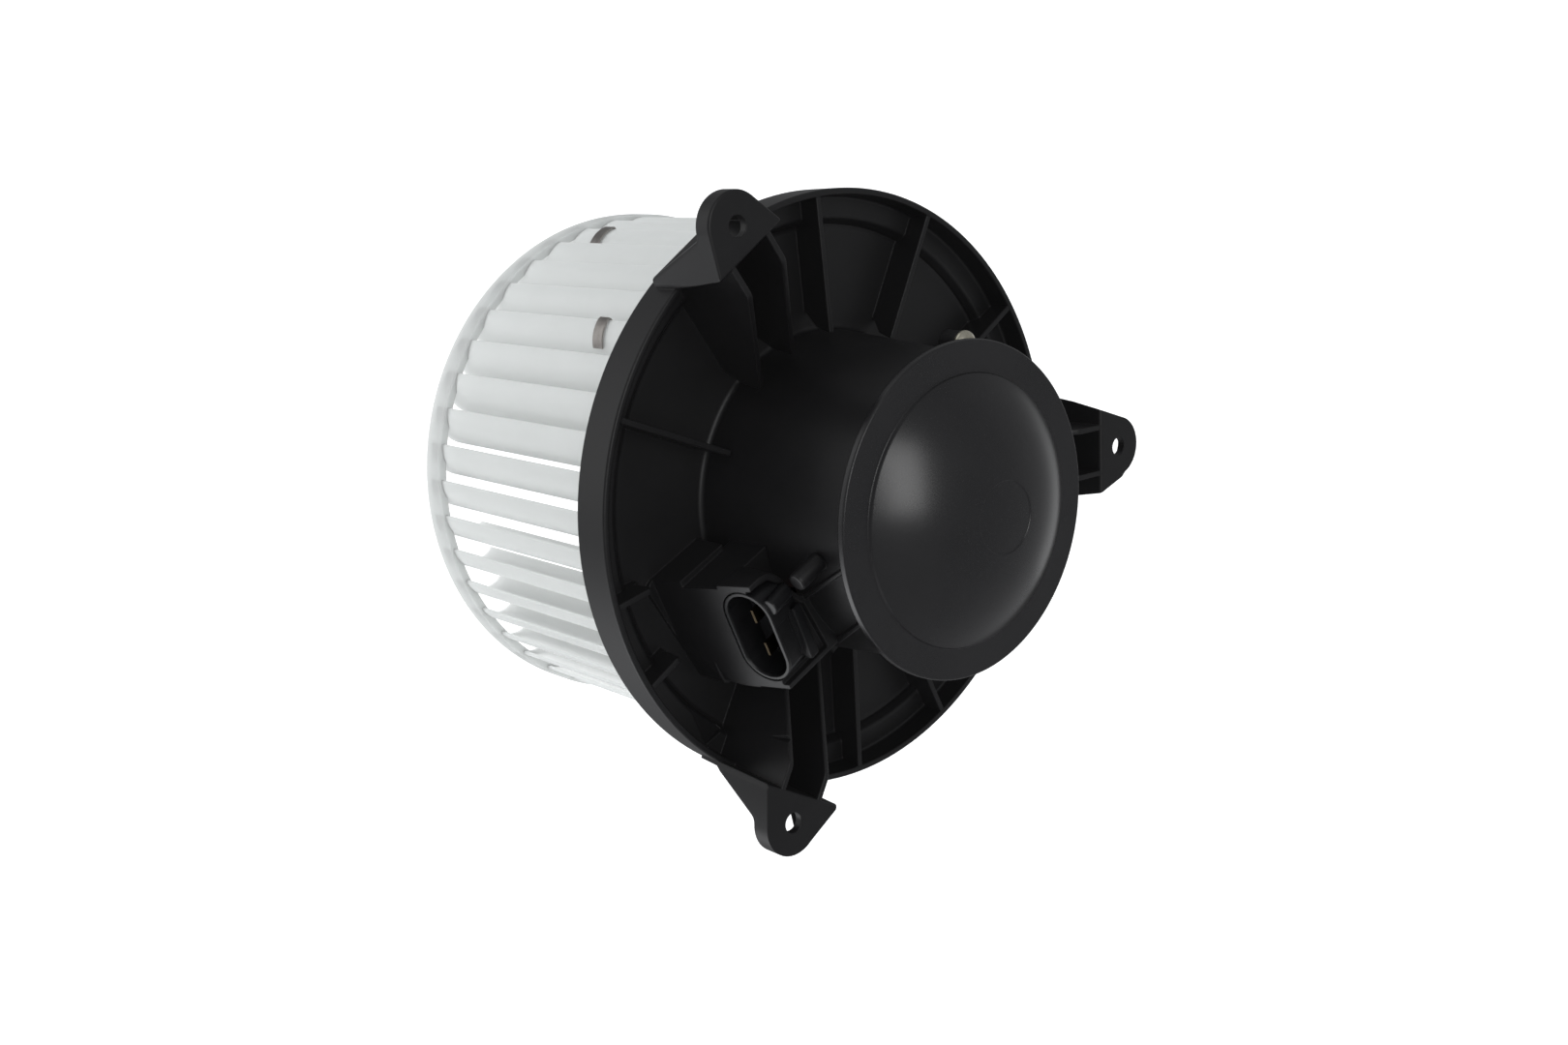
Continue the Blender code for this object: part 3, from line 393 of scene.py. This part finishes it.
def screw_boss(angle):
    boss = prism("boss", [(max(x, 43.8), y) for x, y in circle(4.1, 40, (SCREW_CIRCLE, 0.0))],
                 BOSS_TOP - 1.0, -36.5)
    notch = [(42.9, -5.2), (54.0, -5.2), (54.0, 5.2), (42.9, 5.2)]
    flat = prism("notch", notch, HOUSING_FRONT - 2.0, BOSS_TOP)
    pilot = prism("pilot", circle(2.3, 24, (SCREW_CIRCLE, 0.0)), -44.0, -37.6)
    return [at_angle(boss, angle)], [at_angle(flat, angle), at_angle(pilot, angle)]


def build_flange(material):
    added = plate_ribs()
    cut = []
    groups = [ear(*values) for values in EARS] + [connector_bay()]
    groups += [screw_boss(angle) for angle in SCREW_ANGLES]
    for solids, cuts in groups:
        added += solids
        cut += cuts
    steps = [("UNION", mesh) for mesh in added] + [("DIFFERENCE", mesh) for mesh in cut]
    mesh = combine(turned("flange", flange_profile(), 180), steps)
    finished("flange_housing_skin", mesh, material, "stator", "flange_housing")


# Cover, screws and connector --------------------------------------------------------------------

def build_cover(material):
    brim, base, apex = -61.9, 38.4, -76.5
    ball = (base ** 2 + (brim - 1.0 - apex) ** 2) / (2.0 * (brim - 1.0 - apex))

    def dome(radius, wall=0.0):
        return apex + wall + ball - math.sqrt(ball ** 2 - radius ** 2)

    outside = [(r, dome(r, DISC_DEPTH)) for r in (0.0, 2.5, 5.0, 7.5, 9.6, 10.1)]
    outside += [(10.4, dome(10.4, 0.02)), (12.0, dome(12.0))]
    outside += [(r, dome(r)) for r in (15.0, 18.0, 21.0, 24.0, 27.0, 30.0, 33.0, 35.5, 37.4)]
    edge = rounded([(37.4, dome(37.4)), (38.6, brim - 0.9, 0.8), (39.0, brim, 0.5),
                    (47.9, brim, 0.6), (48.1, -59.7, 0.4), (40.9, -59.7), (40.9, -54.0, 0.3),
                    (38.9, -54.0, 0.3), (38.3, -60.4, 1.0), (33.0, dome(33.0, 2.2))],
                   closed=False)[1:]
    inside = [(r, dome(r, 2.2)) for r in (28.0, 22.0, 16.0, 10.0)] + [(0.0, dome(6.0, 2.2))]
    mesh = turned("cover", outside + edge + inside, 160)
    finished("end_cover_skin", mesh, material, "stator", "end_cover")


def build_screws(material):
    for number, angle in enumerate(SCREW_ANGLES, 1):
        seat = BOSS_TOP - 0.3
        profile = rounded([(0.0, seat - 2.1), (0.9, seat - 2.1), (1.1, seat - 2.5),
                           (3.0, seat - 2.4, 1.3), (4.3, seat - 1.2, 1.2), (4.3, seat, 0.2),
                           (2.0, seat), (2.0, -38.6), (0.0, -37.9)], closed=False)
        head = turned("screw", profile, 48)
        cross = [prism("slot", bar(4.2, 0.9), seat - 4.0, seat - 1.0) for _ in range(2)]
        at_angle(cross[1], 90.0)
        head = combine(head, [("DIFFERENCE", slot) for slot in cross])
        turn = math.radians(angle)
        head.transform(Matrix.Translation((SCREW_CIRCLE * math.cos(turn) * MM,
                                           -SCREW_CIRCLE * math.sin(turn) * MM, 0.0)))
        finished(f"motor_screw_{number}_skin", head, material, "stator", f"motor_screw_{number}")


def build_connector(material):
    """Obround shroud; its upper side carries a round latch rib, a shallow panel and a collar."""
    shell = prism("shell", obround(SOCKET_LENGTH, SOCKET_HEIGHT, 20), -SOCKET_DEPTH, 0.0, 0.35)
    top = -SOCKET_HEIGHT / 2.0
    collar = prism("collar", shifted(bar(17.0, 3.0), -3.6, top), -SOCKET_DEPTH, -SOCKET_DEPTH + 3.6,
                   0.5)
    latch = prism("latch", circle(2.5, 28, (9.6, top + 0.3)), -9.5, -0.9, 0.6)
    steps = [("UNION", in_socket(collar)), ("UNION", in_socket(latch))]
    panel = prism("panel", shifted(bar(13.5, 1.6), -3.4, top), -6.6, -0.9)
    steps.append(("DIFFERENCE", in_socket(panel)))
    cavity = obround(SOCKET_LENGTH - 3.0, SOCKET_HEIGHT - 3.0, 20)
    steps.append(("DIFFERENCE", in_socket(prism("cavity", cavity, 1.6 - SOCKET_DEPTH, 4.0))))
    lead_in = [[(x, y, axial) for x, y in obround(SOCKET_LENGTH + grown, SOCKET_HEIGHT + grown, 20)]
               for axial, grown in ((-1.0, -3.2), (0.4, -1.6))]
    steps.append(("DIFFERENCE", in_socket(loft("lead_in", lead_in))))
    for side in (-5.5, 5.5):
        slot = prism("slot", shifted(bar(5.0, 1.6), side), -13.0, -7.0)
        steps.append(("DIFFERENCE", in_socket(slot)))
    mesh = combine(in_socket(shell), steps)
    finished("connector_skin", mesh, material, "stator", "connector_body")


# Wheel ------------------------------------------------------------------------------------------

BLADE_COUNT = 44
BLADE_START = 3.72
BLADE_INNER = 64.9
BLADE_OUTER = 79.4
BLADE_STAGGER = math.radians(-27.84)
BLADE_HALF_TURN = 63.19
BLADE_THICKNESS = 1.1
BLADE_STEPS = 14
BLADE_SECTIONS = (7.2, 30.0, 55.0, 80.0, 92.4)      # axial places, from the web into the ring
BALANCE_CLIPS = ((13, 74.0), (17, 24.5))            # blade number and axial place
BALANCE_CLIP_START = 14.0       # the clip's legs end here on the blade's arc, degrees
BALANCE_CLIP_WIDTH = 4.6
CHORD = (BLADE_OUTER - BLADE_INNER) / math.cos(BLADE_STAGGER)
BLADE_BEND = CHORD / 2.0 / math.sin(math.radians(BLADE_HALF_TURN))


def blade_point(turn, offset):
    """A point beside a blade's arc, in the blade's (radial, sideways) frame."""
    middle = (BLADE_INNER + BLADE_OUTER) / 2.0
    angle = math.radians(turn)
    along = (BLADE_BEND + offset) * math.sin(angle)
    across = (BLADE_BEND + offset) * math.cos(angle)
    across -= BLADE_BEND * math.cos(math.radians(BLADE_HALF_TURN))
    return (middle + along * math.cos(BLADE_STAGGER) - across * math.sin(BLADE_STAGGER),
            -(along * math.sin(BLADE_STAGGER) + across * math.cos(BLADE_STAGGER)))


def blade_section(axial):
    """Outline of a whole blade, with rounded ends, at one axial place."""
    half = BLADE_THICKNESS / 2.0
    turns = [-BLADE_HALF_TURN + 2.0 * BLADE_HALF_TURN * i / BLADE_STEPS
             for i in range(BLADE_STEPS + 1)]
    outer = [blade_point(turn, half) for turn in turns]
    inner = [blade_point(turn, -half) for turn in reversed(turns)]
    nose = BLADE_HALF_TURN + math.degrees(half * 0.75 / BLADE_BEND)
    tip = [blade_point(nose, half * 0.45), blade_point(nose, -half * 0.45)]
    heel = [blade_point(-nose, -half * 0.45), blade_point(-nose, half * 0.45)]
    return [(x, y, axial) for x, y in outer + tip + inner + heel]


def build_wheel(blades_material, body_material):
    ring = rounded([(81.0, 87.0, 0.6), (81.0, 95.0, 0.7), (79.0, 95.0, 0.6), (78.7, 88.6, 0.5),
                    (78.1, 87.0, 0.3)])
    web = rounded([(79.6, 5.6, 0.5), (79.6, 8.2, 0.5), (64.0, 8.2, 3.0), (58.5, 10.8, 6.0),
                   (37.0, 30.6, 60.0), (18.0, 42.6, 12.0), (11.6, 45.0, 1.0), (11.6, 49.5, 0.4),
                   (9.2, 49.5, 0.3), (9.2, 57.0, 0.5), (4.3, 57.0), (4.3, 36.0), (11.4, 36.0),
                   (12.8, 42.2), (35.6, 28.4, 60.0), (57.2, 8.4, 6.0), (62.6, 5.6, 2.0)])
    body = joined("body", [turned("ring", ring, 176), turned("web", web, 132)])
    solids = [body]
    for number in range(BLADE_COUNT):
        blade = loft("blade", [blade_section(axial) for axial in BLADE_SECTIONS])
        solids.append(at_angle(blade, BLADE_START + number * 360.0 / BLADE_COUNT))
    body_faces = len(body.polygons)
    piece = finished("blower_wheel_skin", joined("wheel", solids), blades_material, "rotor",
                     "blower_wheel")
    # The ring and web take the retoned copy of the white plastic: painted light, so they match the
    # blades.
    piece.data.materials.append(body_material)
    for polygon in piece.data.polygons[:body_faces]:
        polygon.material_index = 1


def build_clips(material):
    half = BLADE_THICKNESS / 2.0
    near, far = half + 0.25, half + 0.8
    for number, (blade, axial) in enumerate(BALANCE_CLIPS, 1):
        turns = [BALANCE_CLIP_START + (BLADE_HALF_TURN - BALANCE_CLIP_START) * i / 8
                 for i in range(9)]
        tip = BLADE_HALF_TURN
        outline = [blade_point(turn, far) for turn in turns]
        outline += [blade_point(tip + 4.6, far * 0.85), blade_point(tip + 5.6, far * 0.4),
                    blade_point(tip + 5.6, -far * 0.4), blade_point(tip + 4.6, -far * 0.85)]
        outline += [blade_point(turn, -far) for turn in reversed(turns)]
        outline += [blade_point(turn, -near) for turn in turns]
        outline += [blade_point(tip + 2.0, -near * 0.8), blade_point(tip + 2.0, near * 0.8)]
        outline += [blade_point(turn, near) for turn in reversed(turns)]
        mesh = prism("clip", outline, axial - BALANCE_CLIP_WIDTH / 2.0,
                     axial + BALANCE_CLIP_WIDTH / 2.0, 0.12)
        at_angle(mesh, BLADE_START + blade * 360.0 / BLADE_COUNT)
        finished(f"balance_clip_{number}_skin", mesh, material, "rotor", f"balance_clip_{number}")
    profile = rounded([(9.5, 50.4, 0.3), (11.0, 50.4, 0.5), (11.0, 54.8, 0.5), (9.5, 54.8, 0.3)])
    mesh = turned("wheel_clip", profile, 72)
    finished("wheel_spring_clip_skin", mesh, material, "rotor", "wheel_spring_clip")


# Materials --------------------------------------------------------------------------------------

def node(tree, kind, **values):
    made = tree.nodes.new(kind)
    for key, value in values.items():
        if key in made.inputs:
            made.inputs[key].default_value = value
        else:
            setattr(made, key, value)
    return made


SCATTER_REACH = 0.016


def surface(name, light, dark, roughness, patch=60.0, grain=2500.0, depth=0.02, metallic=0.0,
            edge=0.0, specular=0.5, subsurface=0.0, stretch=(1.0, 1.0, 1.0), bands=0.0, glow=0.0):
    """A moulded, cast or turned surface.

    The colour drifts between light and dark in patches and the roughness with it, a fine grain
    dents the surface by depth mm, and bands cuts ridges that many times a metre along the axis.
    """
    material = bpy.data.materials.new(name)
    material.use_nodes = True
    tree = material.node_tree
    link = tree.links.new
    shader = tree.nodes["Principled BSDF"]
    shader.inputs["Metallic"].default_value = metallic
    shader.inputs["Specular IOR Level"].default_value = specular
    # A glow on a part that is no lamp is painted light; on the floor it keeps the backdrop evenly
    # bright.
    if glow:
        shader.inputs["Emission Color"].default_value = (1.0, 1.0, 1.0, 1.0)
        shader.inputs["Emission Strength"].default_value = glow
    if subsurface:
        shader.inputs["Subsurface Weight"].default_value = subsurface
        shader.inputs["Subsurface Radius"].default_value = (1.0, 1.0, 1.0)
        shader.inputs["Subsurface Scale"].default_value = SCATTER_REACH
    place = node(tree, "ShaderNodeTexCoord")
    mapping = node(tree, "ShaderNodeMapping", Scale=stretch)
    link(place.outputs["Object"], mapping.inputs["Vector"])
    patches = node(tree, "ShaderNodeTexNoise", Scale=patch, Detail=4.0, Roughness=0.6)
    fine = node(tree, "ShaderNodeTexNoise", Scale=grain, Detail=3.0, Roughness=0.65)
    link(mapping.outputs["Vector"], patches.inputs["Vector"])
    link(mapping.outputs["Vector"], fine.inputs["Vector"])
    colours = node(tree, "ShaderNodeValToRGB")
    colours.color_ramp.elements[0].position = 0.32
    colours.color_ramp.elements[0].color = (*dark, 1.0)
    colours.color_ramp.elements[1].position = 0.68
    colours.color_ramp.elements[1].color = (*light, 1.0)
    link(patches.outputs["Fac"], colours.inputs["Fac"])
    link(colours.outputs["Color"], shader.inputs["Base Color"])
    rough = node(tree, "ShaderNodeMapRange")
    rough.inputs["To Min"].default_value = roughness[0]
    rough.inputs["To Max"].default_value = roughness[1]
    both = node(tree, "ShaderNodeMath", operation="MULTIPLY_ADD")
    both.inputs[1].default_value = 0.5
    half = node(tree, "ShaderNodeMath", operation="MULTIPLY")
    half.inputs[1].default_value = 0.5
    link(fine.outputs["Fac"], half.inputs[0])
    link(patches.outputs["Fac"], both.inputs[0])
    link(half.outputs["Value"], both.inputs[2])
    link(both.outputs["Value"], rough.inputs["Value"])
    link(rough.outputs["Result"], shader.inputs["Roughness"])
    bump = node(tree, "ShaderNodeBump", Distance=depth * MM, Strength=0.6)
    link(fine.outputs["Fac"], bump.inputs["Height"])
    last = bump
    if bands:
        wave = node(tree, "ShaderNodeTexWave", Scale=bands, Distortion=0.4, Detail=1.0)
        wave.bands_direction = "Y"
        link(place.outputs["Object"], wave.inputs["Vector"])
        ridges = node(tree, "ShaderNodeBump", Distance=0.15 * MM, Strength=0.8)
        link(wave.outputs["Fac"], ridges.inputs["Height"])
        link(bump.outputs["Normal"], ridges.inputs["Normal"])
        last = ridges
    link(last.outputs["Normal"], shader.inputs["Normal"])
    if edge:
        bevel = node(tree, "ShaderNodeBevel", samples=6, Radius=edge * MM)
        link(bevel.outputs["Normal"], bump.inputs["Normal"])
    return material


# The black's faint glow is painted light: it lifts the flange's self-shaded hollows and plate.
black = surface("black_plastic", (0.0060, 0.0057, 0.0068), (0.0038, 0.0036, 0.0046), (0.36, 0.50),
                patch=45.0, grain=3200.0, depth=0.012, edge=0.5, specular=0.38, glow=0.0024)
cover_black = surface("cover_plastic", (0.0120, 0.0116, 0.0128), (0.0090, 0.0087, 0.0098),
                      (0.24, 0.32), patch=35.0, grain=3800.0, depth=0.006, edge=0.4)
socket_black = surface("connector_plastic", (0.011, 0.011, 0.012), (0.007, 0.007, 0.008),
                       (0.32, 0.42), patch=80.0, grain=3000.0, depth=0.006, edge=0.3,
                       specular=0.36)
# The white plastic's glow is painted light: it stands in for light passing through the blades and
# lifts their shaded sides.
white = surface("white_plastic", (0.48, 0.505, 0.495), (0.455, 0.48, 0.47), (0.34, 0.46),
                patch=30.0, grain=1500.0, depth=0.01, edge=0.3, subsurface=1.0, glow=0.12)
# Painted light: a second copy of the white plastic for the ring and web, with its own tone,
# scattering and painted glow, set so the ring matches the blades' brightness under this light.
ring_lit_copy_white = surface("white_plastic_ring_lit_copy", (0.52, 0.54, 0.53), (0.50, 0.52, 0.51), (0.34, 0.46),
                      patch=30.0, grain=1500.0, depth=0.01, edge=0.3, subsurface=0.5, glow=0.07)
spring_steel = surface("spring_steel", (0.37, 0.35, 0.33), (0.27, 0.25, 0.24), (0.25, 0.42),
                       patch=300.0, grain=4000.0, depth=0.01, metallic=1.0)
plated_steel = surface("plated_steel", (0.74, 0.71, 0.60), (0.58, 0.55, 0.44), (0.22, 0.36),
                       patch=400.0, grain=5000.0, depth=0.008, metallic=1.0, edge=0.15)
zinc_steel = surface("zinc_steel", (0.62, 0.63, 0.65), (0.46, 0.47, 0.50), (0.28, 0.45),
                     patch=120.0, grain=1800.0, depth=0.012, metallic=1.0)
ground_steel = surface("ground_steel", (0.68, 0.68, 0.69), (0.56, 0.56, 0.57), (0.16, 0.28),
                       patch=250.0, grain=900.0, depth=0.006, metallic=1.0, stretch=(1, 9, 1))
core_steel = surface("core_steel", (0.26, 0.25, 0.24), (0.14, 0.13, 0.13), (0.40, 0.60),
                     patch=150.0, depth=0.02, metallic=1.0, bands=320.0)
ferrite = surface("ferrite", (0.075, 0.075, 0.080), (0.040, 0.040, 0.044), (0.50, 0.70),
                  patch=110.0, grain=1600.0, depth=0.03)
copper = surface("copper", (0.76, 0.38, 0.22), (0.55, 0.24, 0.13), (0.20, 0.36), patch=160.0,
                 grain=2200.0, depth=0.01, metallic=1.0)
enamel = surface("enamelled_wire", (0.50, 0.17, 0.05), (0.30, 0.08, 0.02), (0.22, 0.36),
                 patch=240.0, depth=0.02, metallic=0.7, bands=260.0)
brass = surface("brass", (0.62, 0.46, 0.20), (0.45, 0.31, 0.12), (0.25, 0.40), patch=260.0,
                grain=3000.0, depth=0.008, metallic=1.0)
# Terminal brass darkened as painted shade: the terminals sit deep in the socket's shaded mouth.
shade_dark_brass = surface("brass_painted_shade", (0.09, 0.070, 0.042), (0.05, 0.038, 0.024), (0.42, 0.58),
                     patch=260.0, grain=3000.0, depth=0.008, metallic=1.0)
bronze = surface("sintered_bronze", (0.50, 0.34, 0.18), (0.33, 0.21, 0.10), (0.40, 0.60),
                 patch=200.0, grain=2600.0, depth=0.04, metallic=1.0)
carbon = surface("carbon", (0.055, 0.050, 0.047), (0.025, 0.023, 0.022), (0.45, 0.65),
                 patch=300.0, grain=2600.0, depth=0.03)
rubber = surface("rubber", (0.022, 0.022, 0.022), (0.012, 0.012, 0.012), (0.70, 0.88),
                 patch=90.0, grain=1400.0, depth=0.03)
card_resin = surface("brown_resin", (0.20, 0.105, 0.055), (0.11, 0.055, 0.028), (0.42, 0.58),
                     patch=90.0, grain=1200.0, depth=0.02, stretch=(3, 1, 1))
nylon = surface("nylon_washer", (0.72, 0.70, 0.62), (0.60, 0.58, 0.50), (0.35, 0.50), patch=160.0,
                grain=2000.0, depth=0.01)
sleeve = surface("lead_sleeve", (0.38, 0.03, 0.03), (0.24, 0.015, 0.015), (0.35, 0.50),
                 patch=260.0, grain=2500.0, depth=0.01)

CAD_MATERIALS = {
    zinc_steel: ("motor_yoke", "end_bell"),
    spring_steel: ("magnet_spring_1", "magnet_spring_2", "bearing_retainer_front",
                   "bearing_retainer_rear", "brush_spring_1", "brush_spring_2"),
    ground_steel: ("motor_shaft",),
    core_steel: ("armature_core",),
    ferrite: ("magnet_1", "magnet_2"),
    copper: ("commutator",),
    enamel: ("winding_front", "winding_rear"),
    shade_dark_brass: ("terminal_1", "terminal_2"),
    brass: ("brush_holder_1", "brush_holder_2"),
    bronze: ("bearing_front", "bearing_rear"),
    carbon: ("brush_1", "brush_2"),
    rubber: ("isolator_front", "isolator_rear"),
    card_resin: ("brush_card",),
    nylon: ("thrust_washer_front", "thrust_washer_rear"),
    sleeve: ("lead_1", "lead_2"),
}
for cad_material, names in CAD_MATERIALS.items():
    for name in names:
        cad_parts[name].data.materials.clear()
        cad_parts[name].data.materials.append(cad_material)


def build_brush_springs():
    """Copies of the brush springs, hung on the stator in place of their CAD nodes."""
    for number, outward in ((1, 1.0), (2, -1.0)):
        name = f"brush_spring_{number}"
        spring = bpy.data.objects.new(f"{name}_skin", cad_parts[name].data.copy())
        bpy.context.scene.collection.objects.link(spring)
        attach(spring, "stator")
        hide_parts(name)
        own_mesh(spring)


build_brush_springs()
build_flange(black)
build_cover(cover_black)
build_screws(plated_steel)
build_connector(socket_black)
build_wheel(white, ring_lit_copy_white)
build_clips(spring_steel)


# Stage, light and camera ------------------------------------------------------------------------

def build_stage():
    """A pale sweep: a floor that curves up into a wall far behind the object."""
    profile = [(-3.0, -0.25), (2.2, -0.25)]
    profile += [(2.2 + 0.8 * math.sin(t), 0.55 - 0.8 * math.cos(t))
                for t in (math.radians(9.0 * k) for k in range(1, 11))] + [(3.0, 3.0)]
    sections = []
    for side in (-4.0, 4.0):
        sections.append([(side, y, z) for y, z in profile])
    work = bmesh.new()
    rows = [[work.verts.new(point) for point in section] for section in sections]
    for i in range(len(profile) - 1):
        work.faces.new((rows[0][i], rows[1][i], rows[1][i + 1], rows[0][i + 1]))
    mesh = bpy.data.meshes.new("floor")
    work.to_mesh(mesh)
    work.free()
    mesh.shade_smooth()
    mesh.transform(Matrix.Rotation(math.radians(CAMERA_AZIMUTH), 4, "Z"))
    mesh.materials.append(surface("floor", (0.90, 0.90, 0.90), (0.885, 0.885, 0.885), (0.8, 0.9),
                                  patch=3.0, grain=200.0, specular=0.1, glow=0.46))
    floor = bpy.data.objects.new("floor", mesh)
    bpy.context.scene.collection.objects.link(floor)
    floor.visible_glossy = False


ROOM_LEVEL = 0.28
FILL_LEVEL = 0.88       # what matt surfaces see in place of the room
# Pale parts of the room that gloss picks up: direction, sharpness and strength
ROOM_GLOWS = (((-0.50, 0.45, -0.74), 14.0, 3.2), ((0.80, 0.30, -0.50), 8.0, 0.10))


def build_world():
    world = bpy.data.worlds.new("studio")
    bpy.context.scene.world = world
    world.use_nodes = True
    tree = world.node_tree
    seen = tree.nodes["Background"]
    seen.inputs["Color"].default_value = (1.0, 1.0, 1.0, 1.0)
    seen.inputs["Strength"].default_value = 1.0
    reflected = node(tree, "ShaderNodeBackground", Color=(0.97, 0.98, 1.0, 1.0))
    place = node(tree, "ShaderNodeTexCoord")
    level = None
    for direction, sharpness, strength in ROOM_GLOWS:
        toward = node(tree, "ShaderNodeVectorMath", operation="DOT_PRODUCT")
        toward.inputs[1].default_value = Vector(direction).normalized()
        tree.links.new(place.outputs["Generated"], toward.inputs[0])
        ahead = node(tree, "ShaderNodeMath", operation="MAXIMUM")
        ahead.inputs[1].default_value = 0.0
        tree.links.new(toward.outputs["Value"], ahead.inputs[0])
        lobe = node(tree, "ShaderNodeMath", operation="POWER")
        lobe.inputs[1].default_value = sharpness
        tree.links.new(ahead.outputs["Value"], lobe.inputs[0])
        total = node(tree, "ShaderNodeMath", operation="MULTIPLY_ADD")
        total.inputs[1].default_value = strength
        total.inputs[2].default_value = ROOM_LEVEL
        tree.links.new(lobe.outputs["Value"], total.inputs[0])
        if level:
            tree.links.new(level, total.inputs[2])
        level = total.outputs["Value"]
    tree.links.new(level, reflected.inputs["Strength"])
    fill = node(tree, "ShaderNodeBackground", Color=(0.97, 0.985, 1.0, 1.0),
                Strength=FILL_LEVEL)
    path = node(tree, "ShaderNodeLightPath")
    matt = node(tree, "ShaderNodeMixShader")
    tree.links.new(path.outputs["Is Diffuse Ray"], matt.inputs[0])
    tree.links.new(reflected.outputs[0], matt.inputs[1])
    tree.links.new(fill.outputs[0], matt.inputs[2])
    mix = node(tree, "ShaderNodeMixShader")
    tree.links.new(path.outputs["Is Camera Ray"], mix.inputs[0])
    tree.links.new(matt.outputs[0], mix.inputs[1])
    tree.links.new(seen.outputs[0], mix.inputs[2])
    tree.links.new(mix.outputs[0], tree.nodes["World Output"].inputs["Surface"])


def softbox(name, location, size, power, matt=True):
    light = bpy.data.lights.new(name, "AREA")
    light.shape = "RECTANGLE"
    light.size, light.size_y = size
    light.energy = power
    lamp = bpy.data.objects.new(name, light)
    lamp.location = location
    lamp.rotation_euler = (-lamp.location).to_track_quat("-Z", "Y").to_euler()
    lamp.visible_diffuse = matt
    bpy.context.scene.collection.objects.link(lamp)


CAMERA_AZIMUTH = -41.2
CAMERA_ELEVATION = 8.63
CAMERA_OFFSET = (-0.0107, 0.0060, 0.5311)     # right, up and back of the origin


def build_camera():
    turn, rise = math.radians(CAMERA_AZIMUTH), math.radians(CAMERA_ELEVATION)
    back = Vector((math.sin(turn) * math.cos(rise), -math.cos(turn) * math.cos(rise),
                   math.sin(rise)))
    right = Vector((math.cos(turn), math.sin(turn), 0.0))
    up = back.cross(right)
    lens = bpy.data.cameras.new("camera")
    lens.lens = 40.0
    lens.sensor_width = 36.0
    lens.shift_y = -0.037
    lens.clip_start = 0.01
    camera = bpy.data.objects.new("camera", lens)
    across, above, behind = CAMERA_OFFSET
    camera.matrix_world = Matrix((right, up, back)).transposed().to_4x4()
    camera.location = right * across + up * above + back * behind
    bpy.context.scene.collection.objects.link(camera)
    bpy.context.scene.camera = camera


build_stage()
build_world()
softbox("key", (-0.55, 0.45, 1.20), (1.0, 1.0), 1.2)
softbox("side", (-0.95, 1.00, 0.35), (0.7, 1.2), 2.5, matt=False)
softbox("window", (-0.34, -1.12, 0.30), (0.42, 0.75), 4.0, matt=False)
softbox("right", (1.25, 0.25, -0.05), (0.5, 0.9), 0.38, matt=False)
build_camera()
bpy.context.scene.view_settings.view_transform = "Standard"
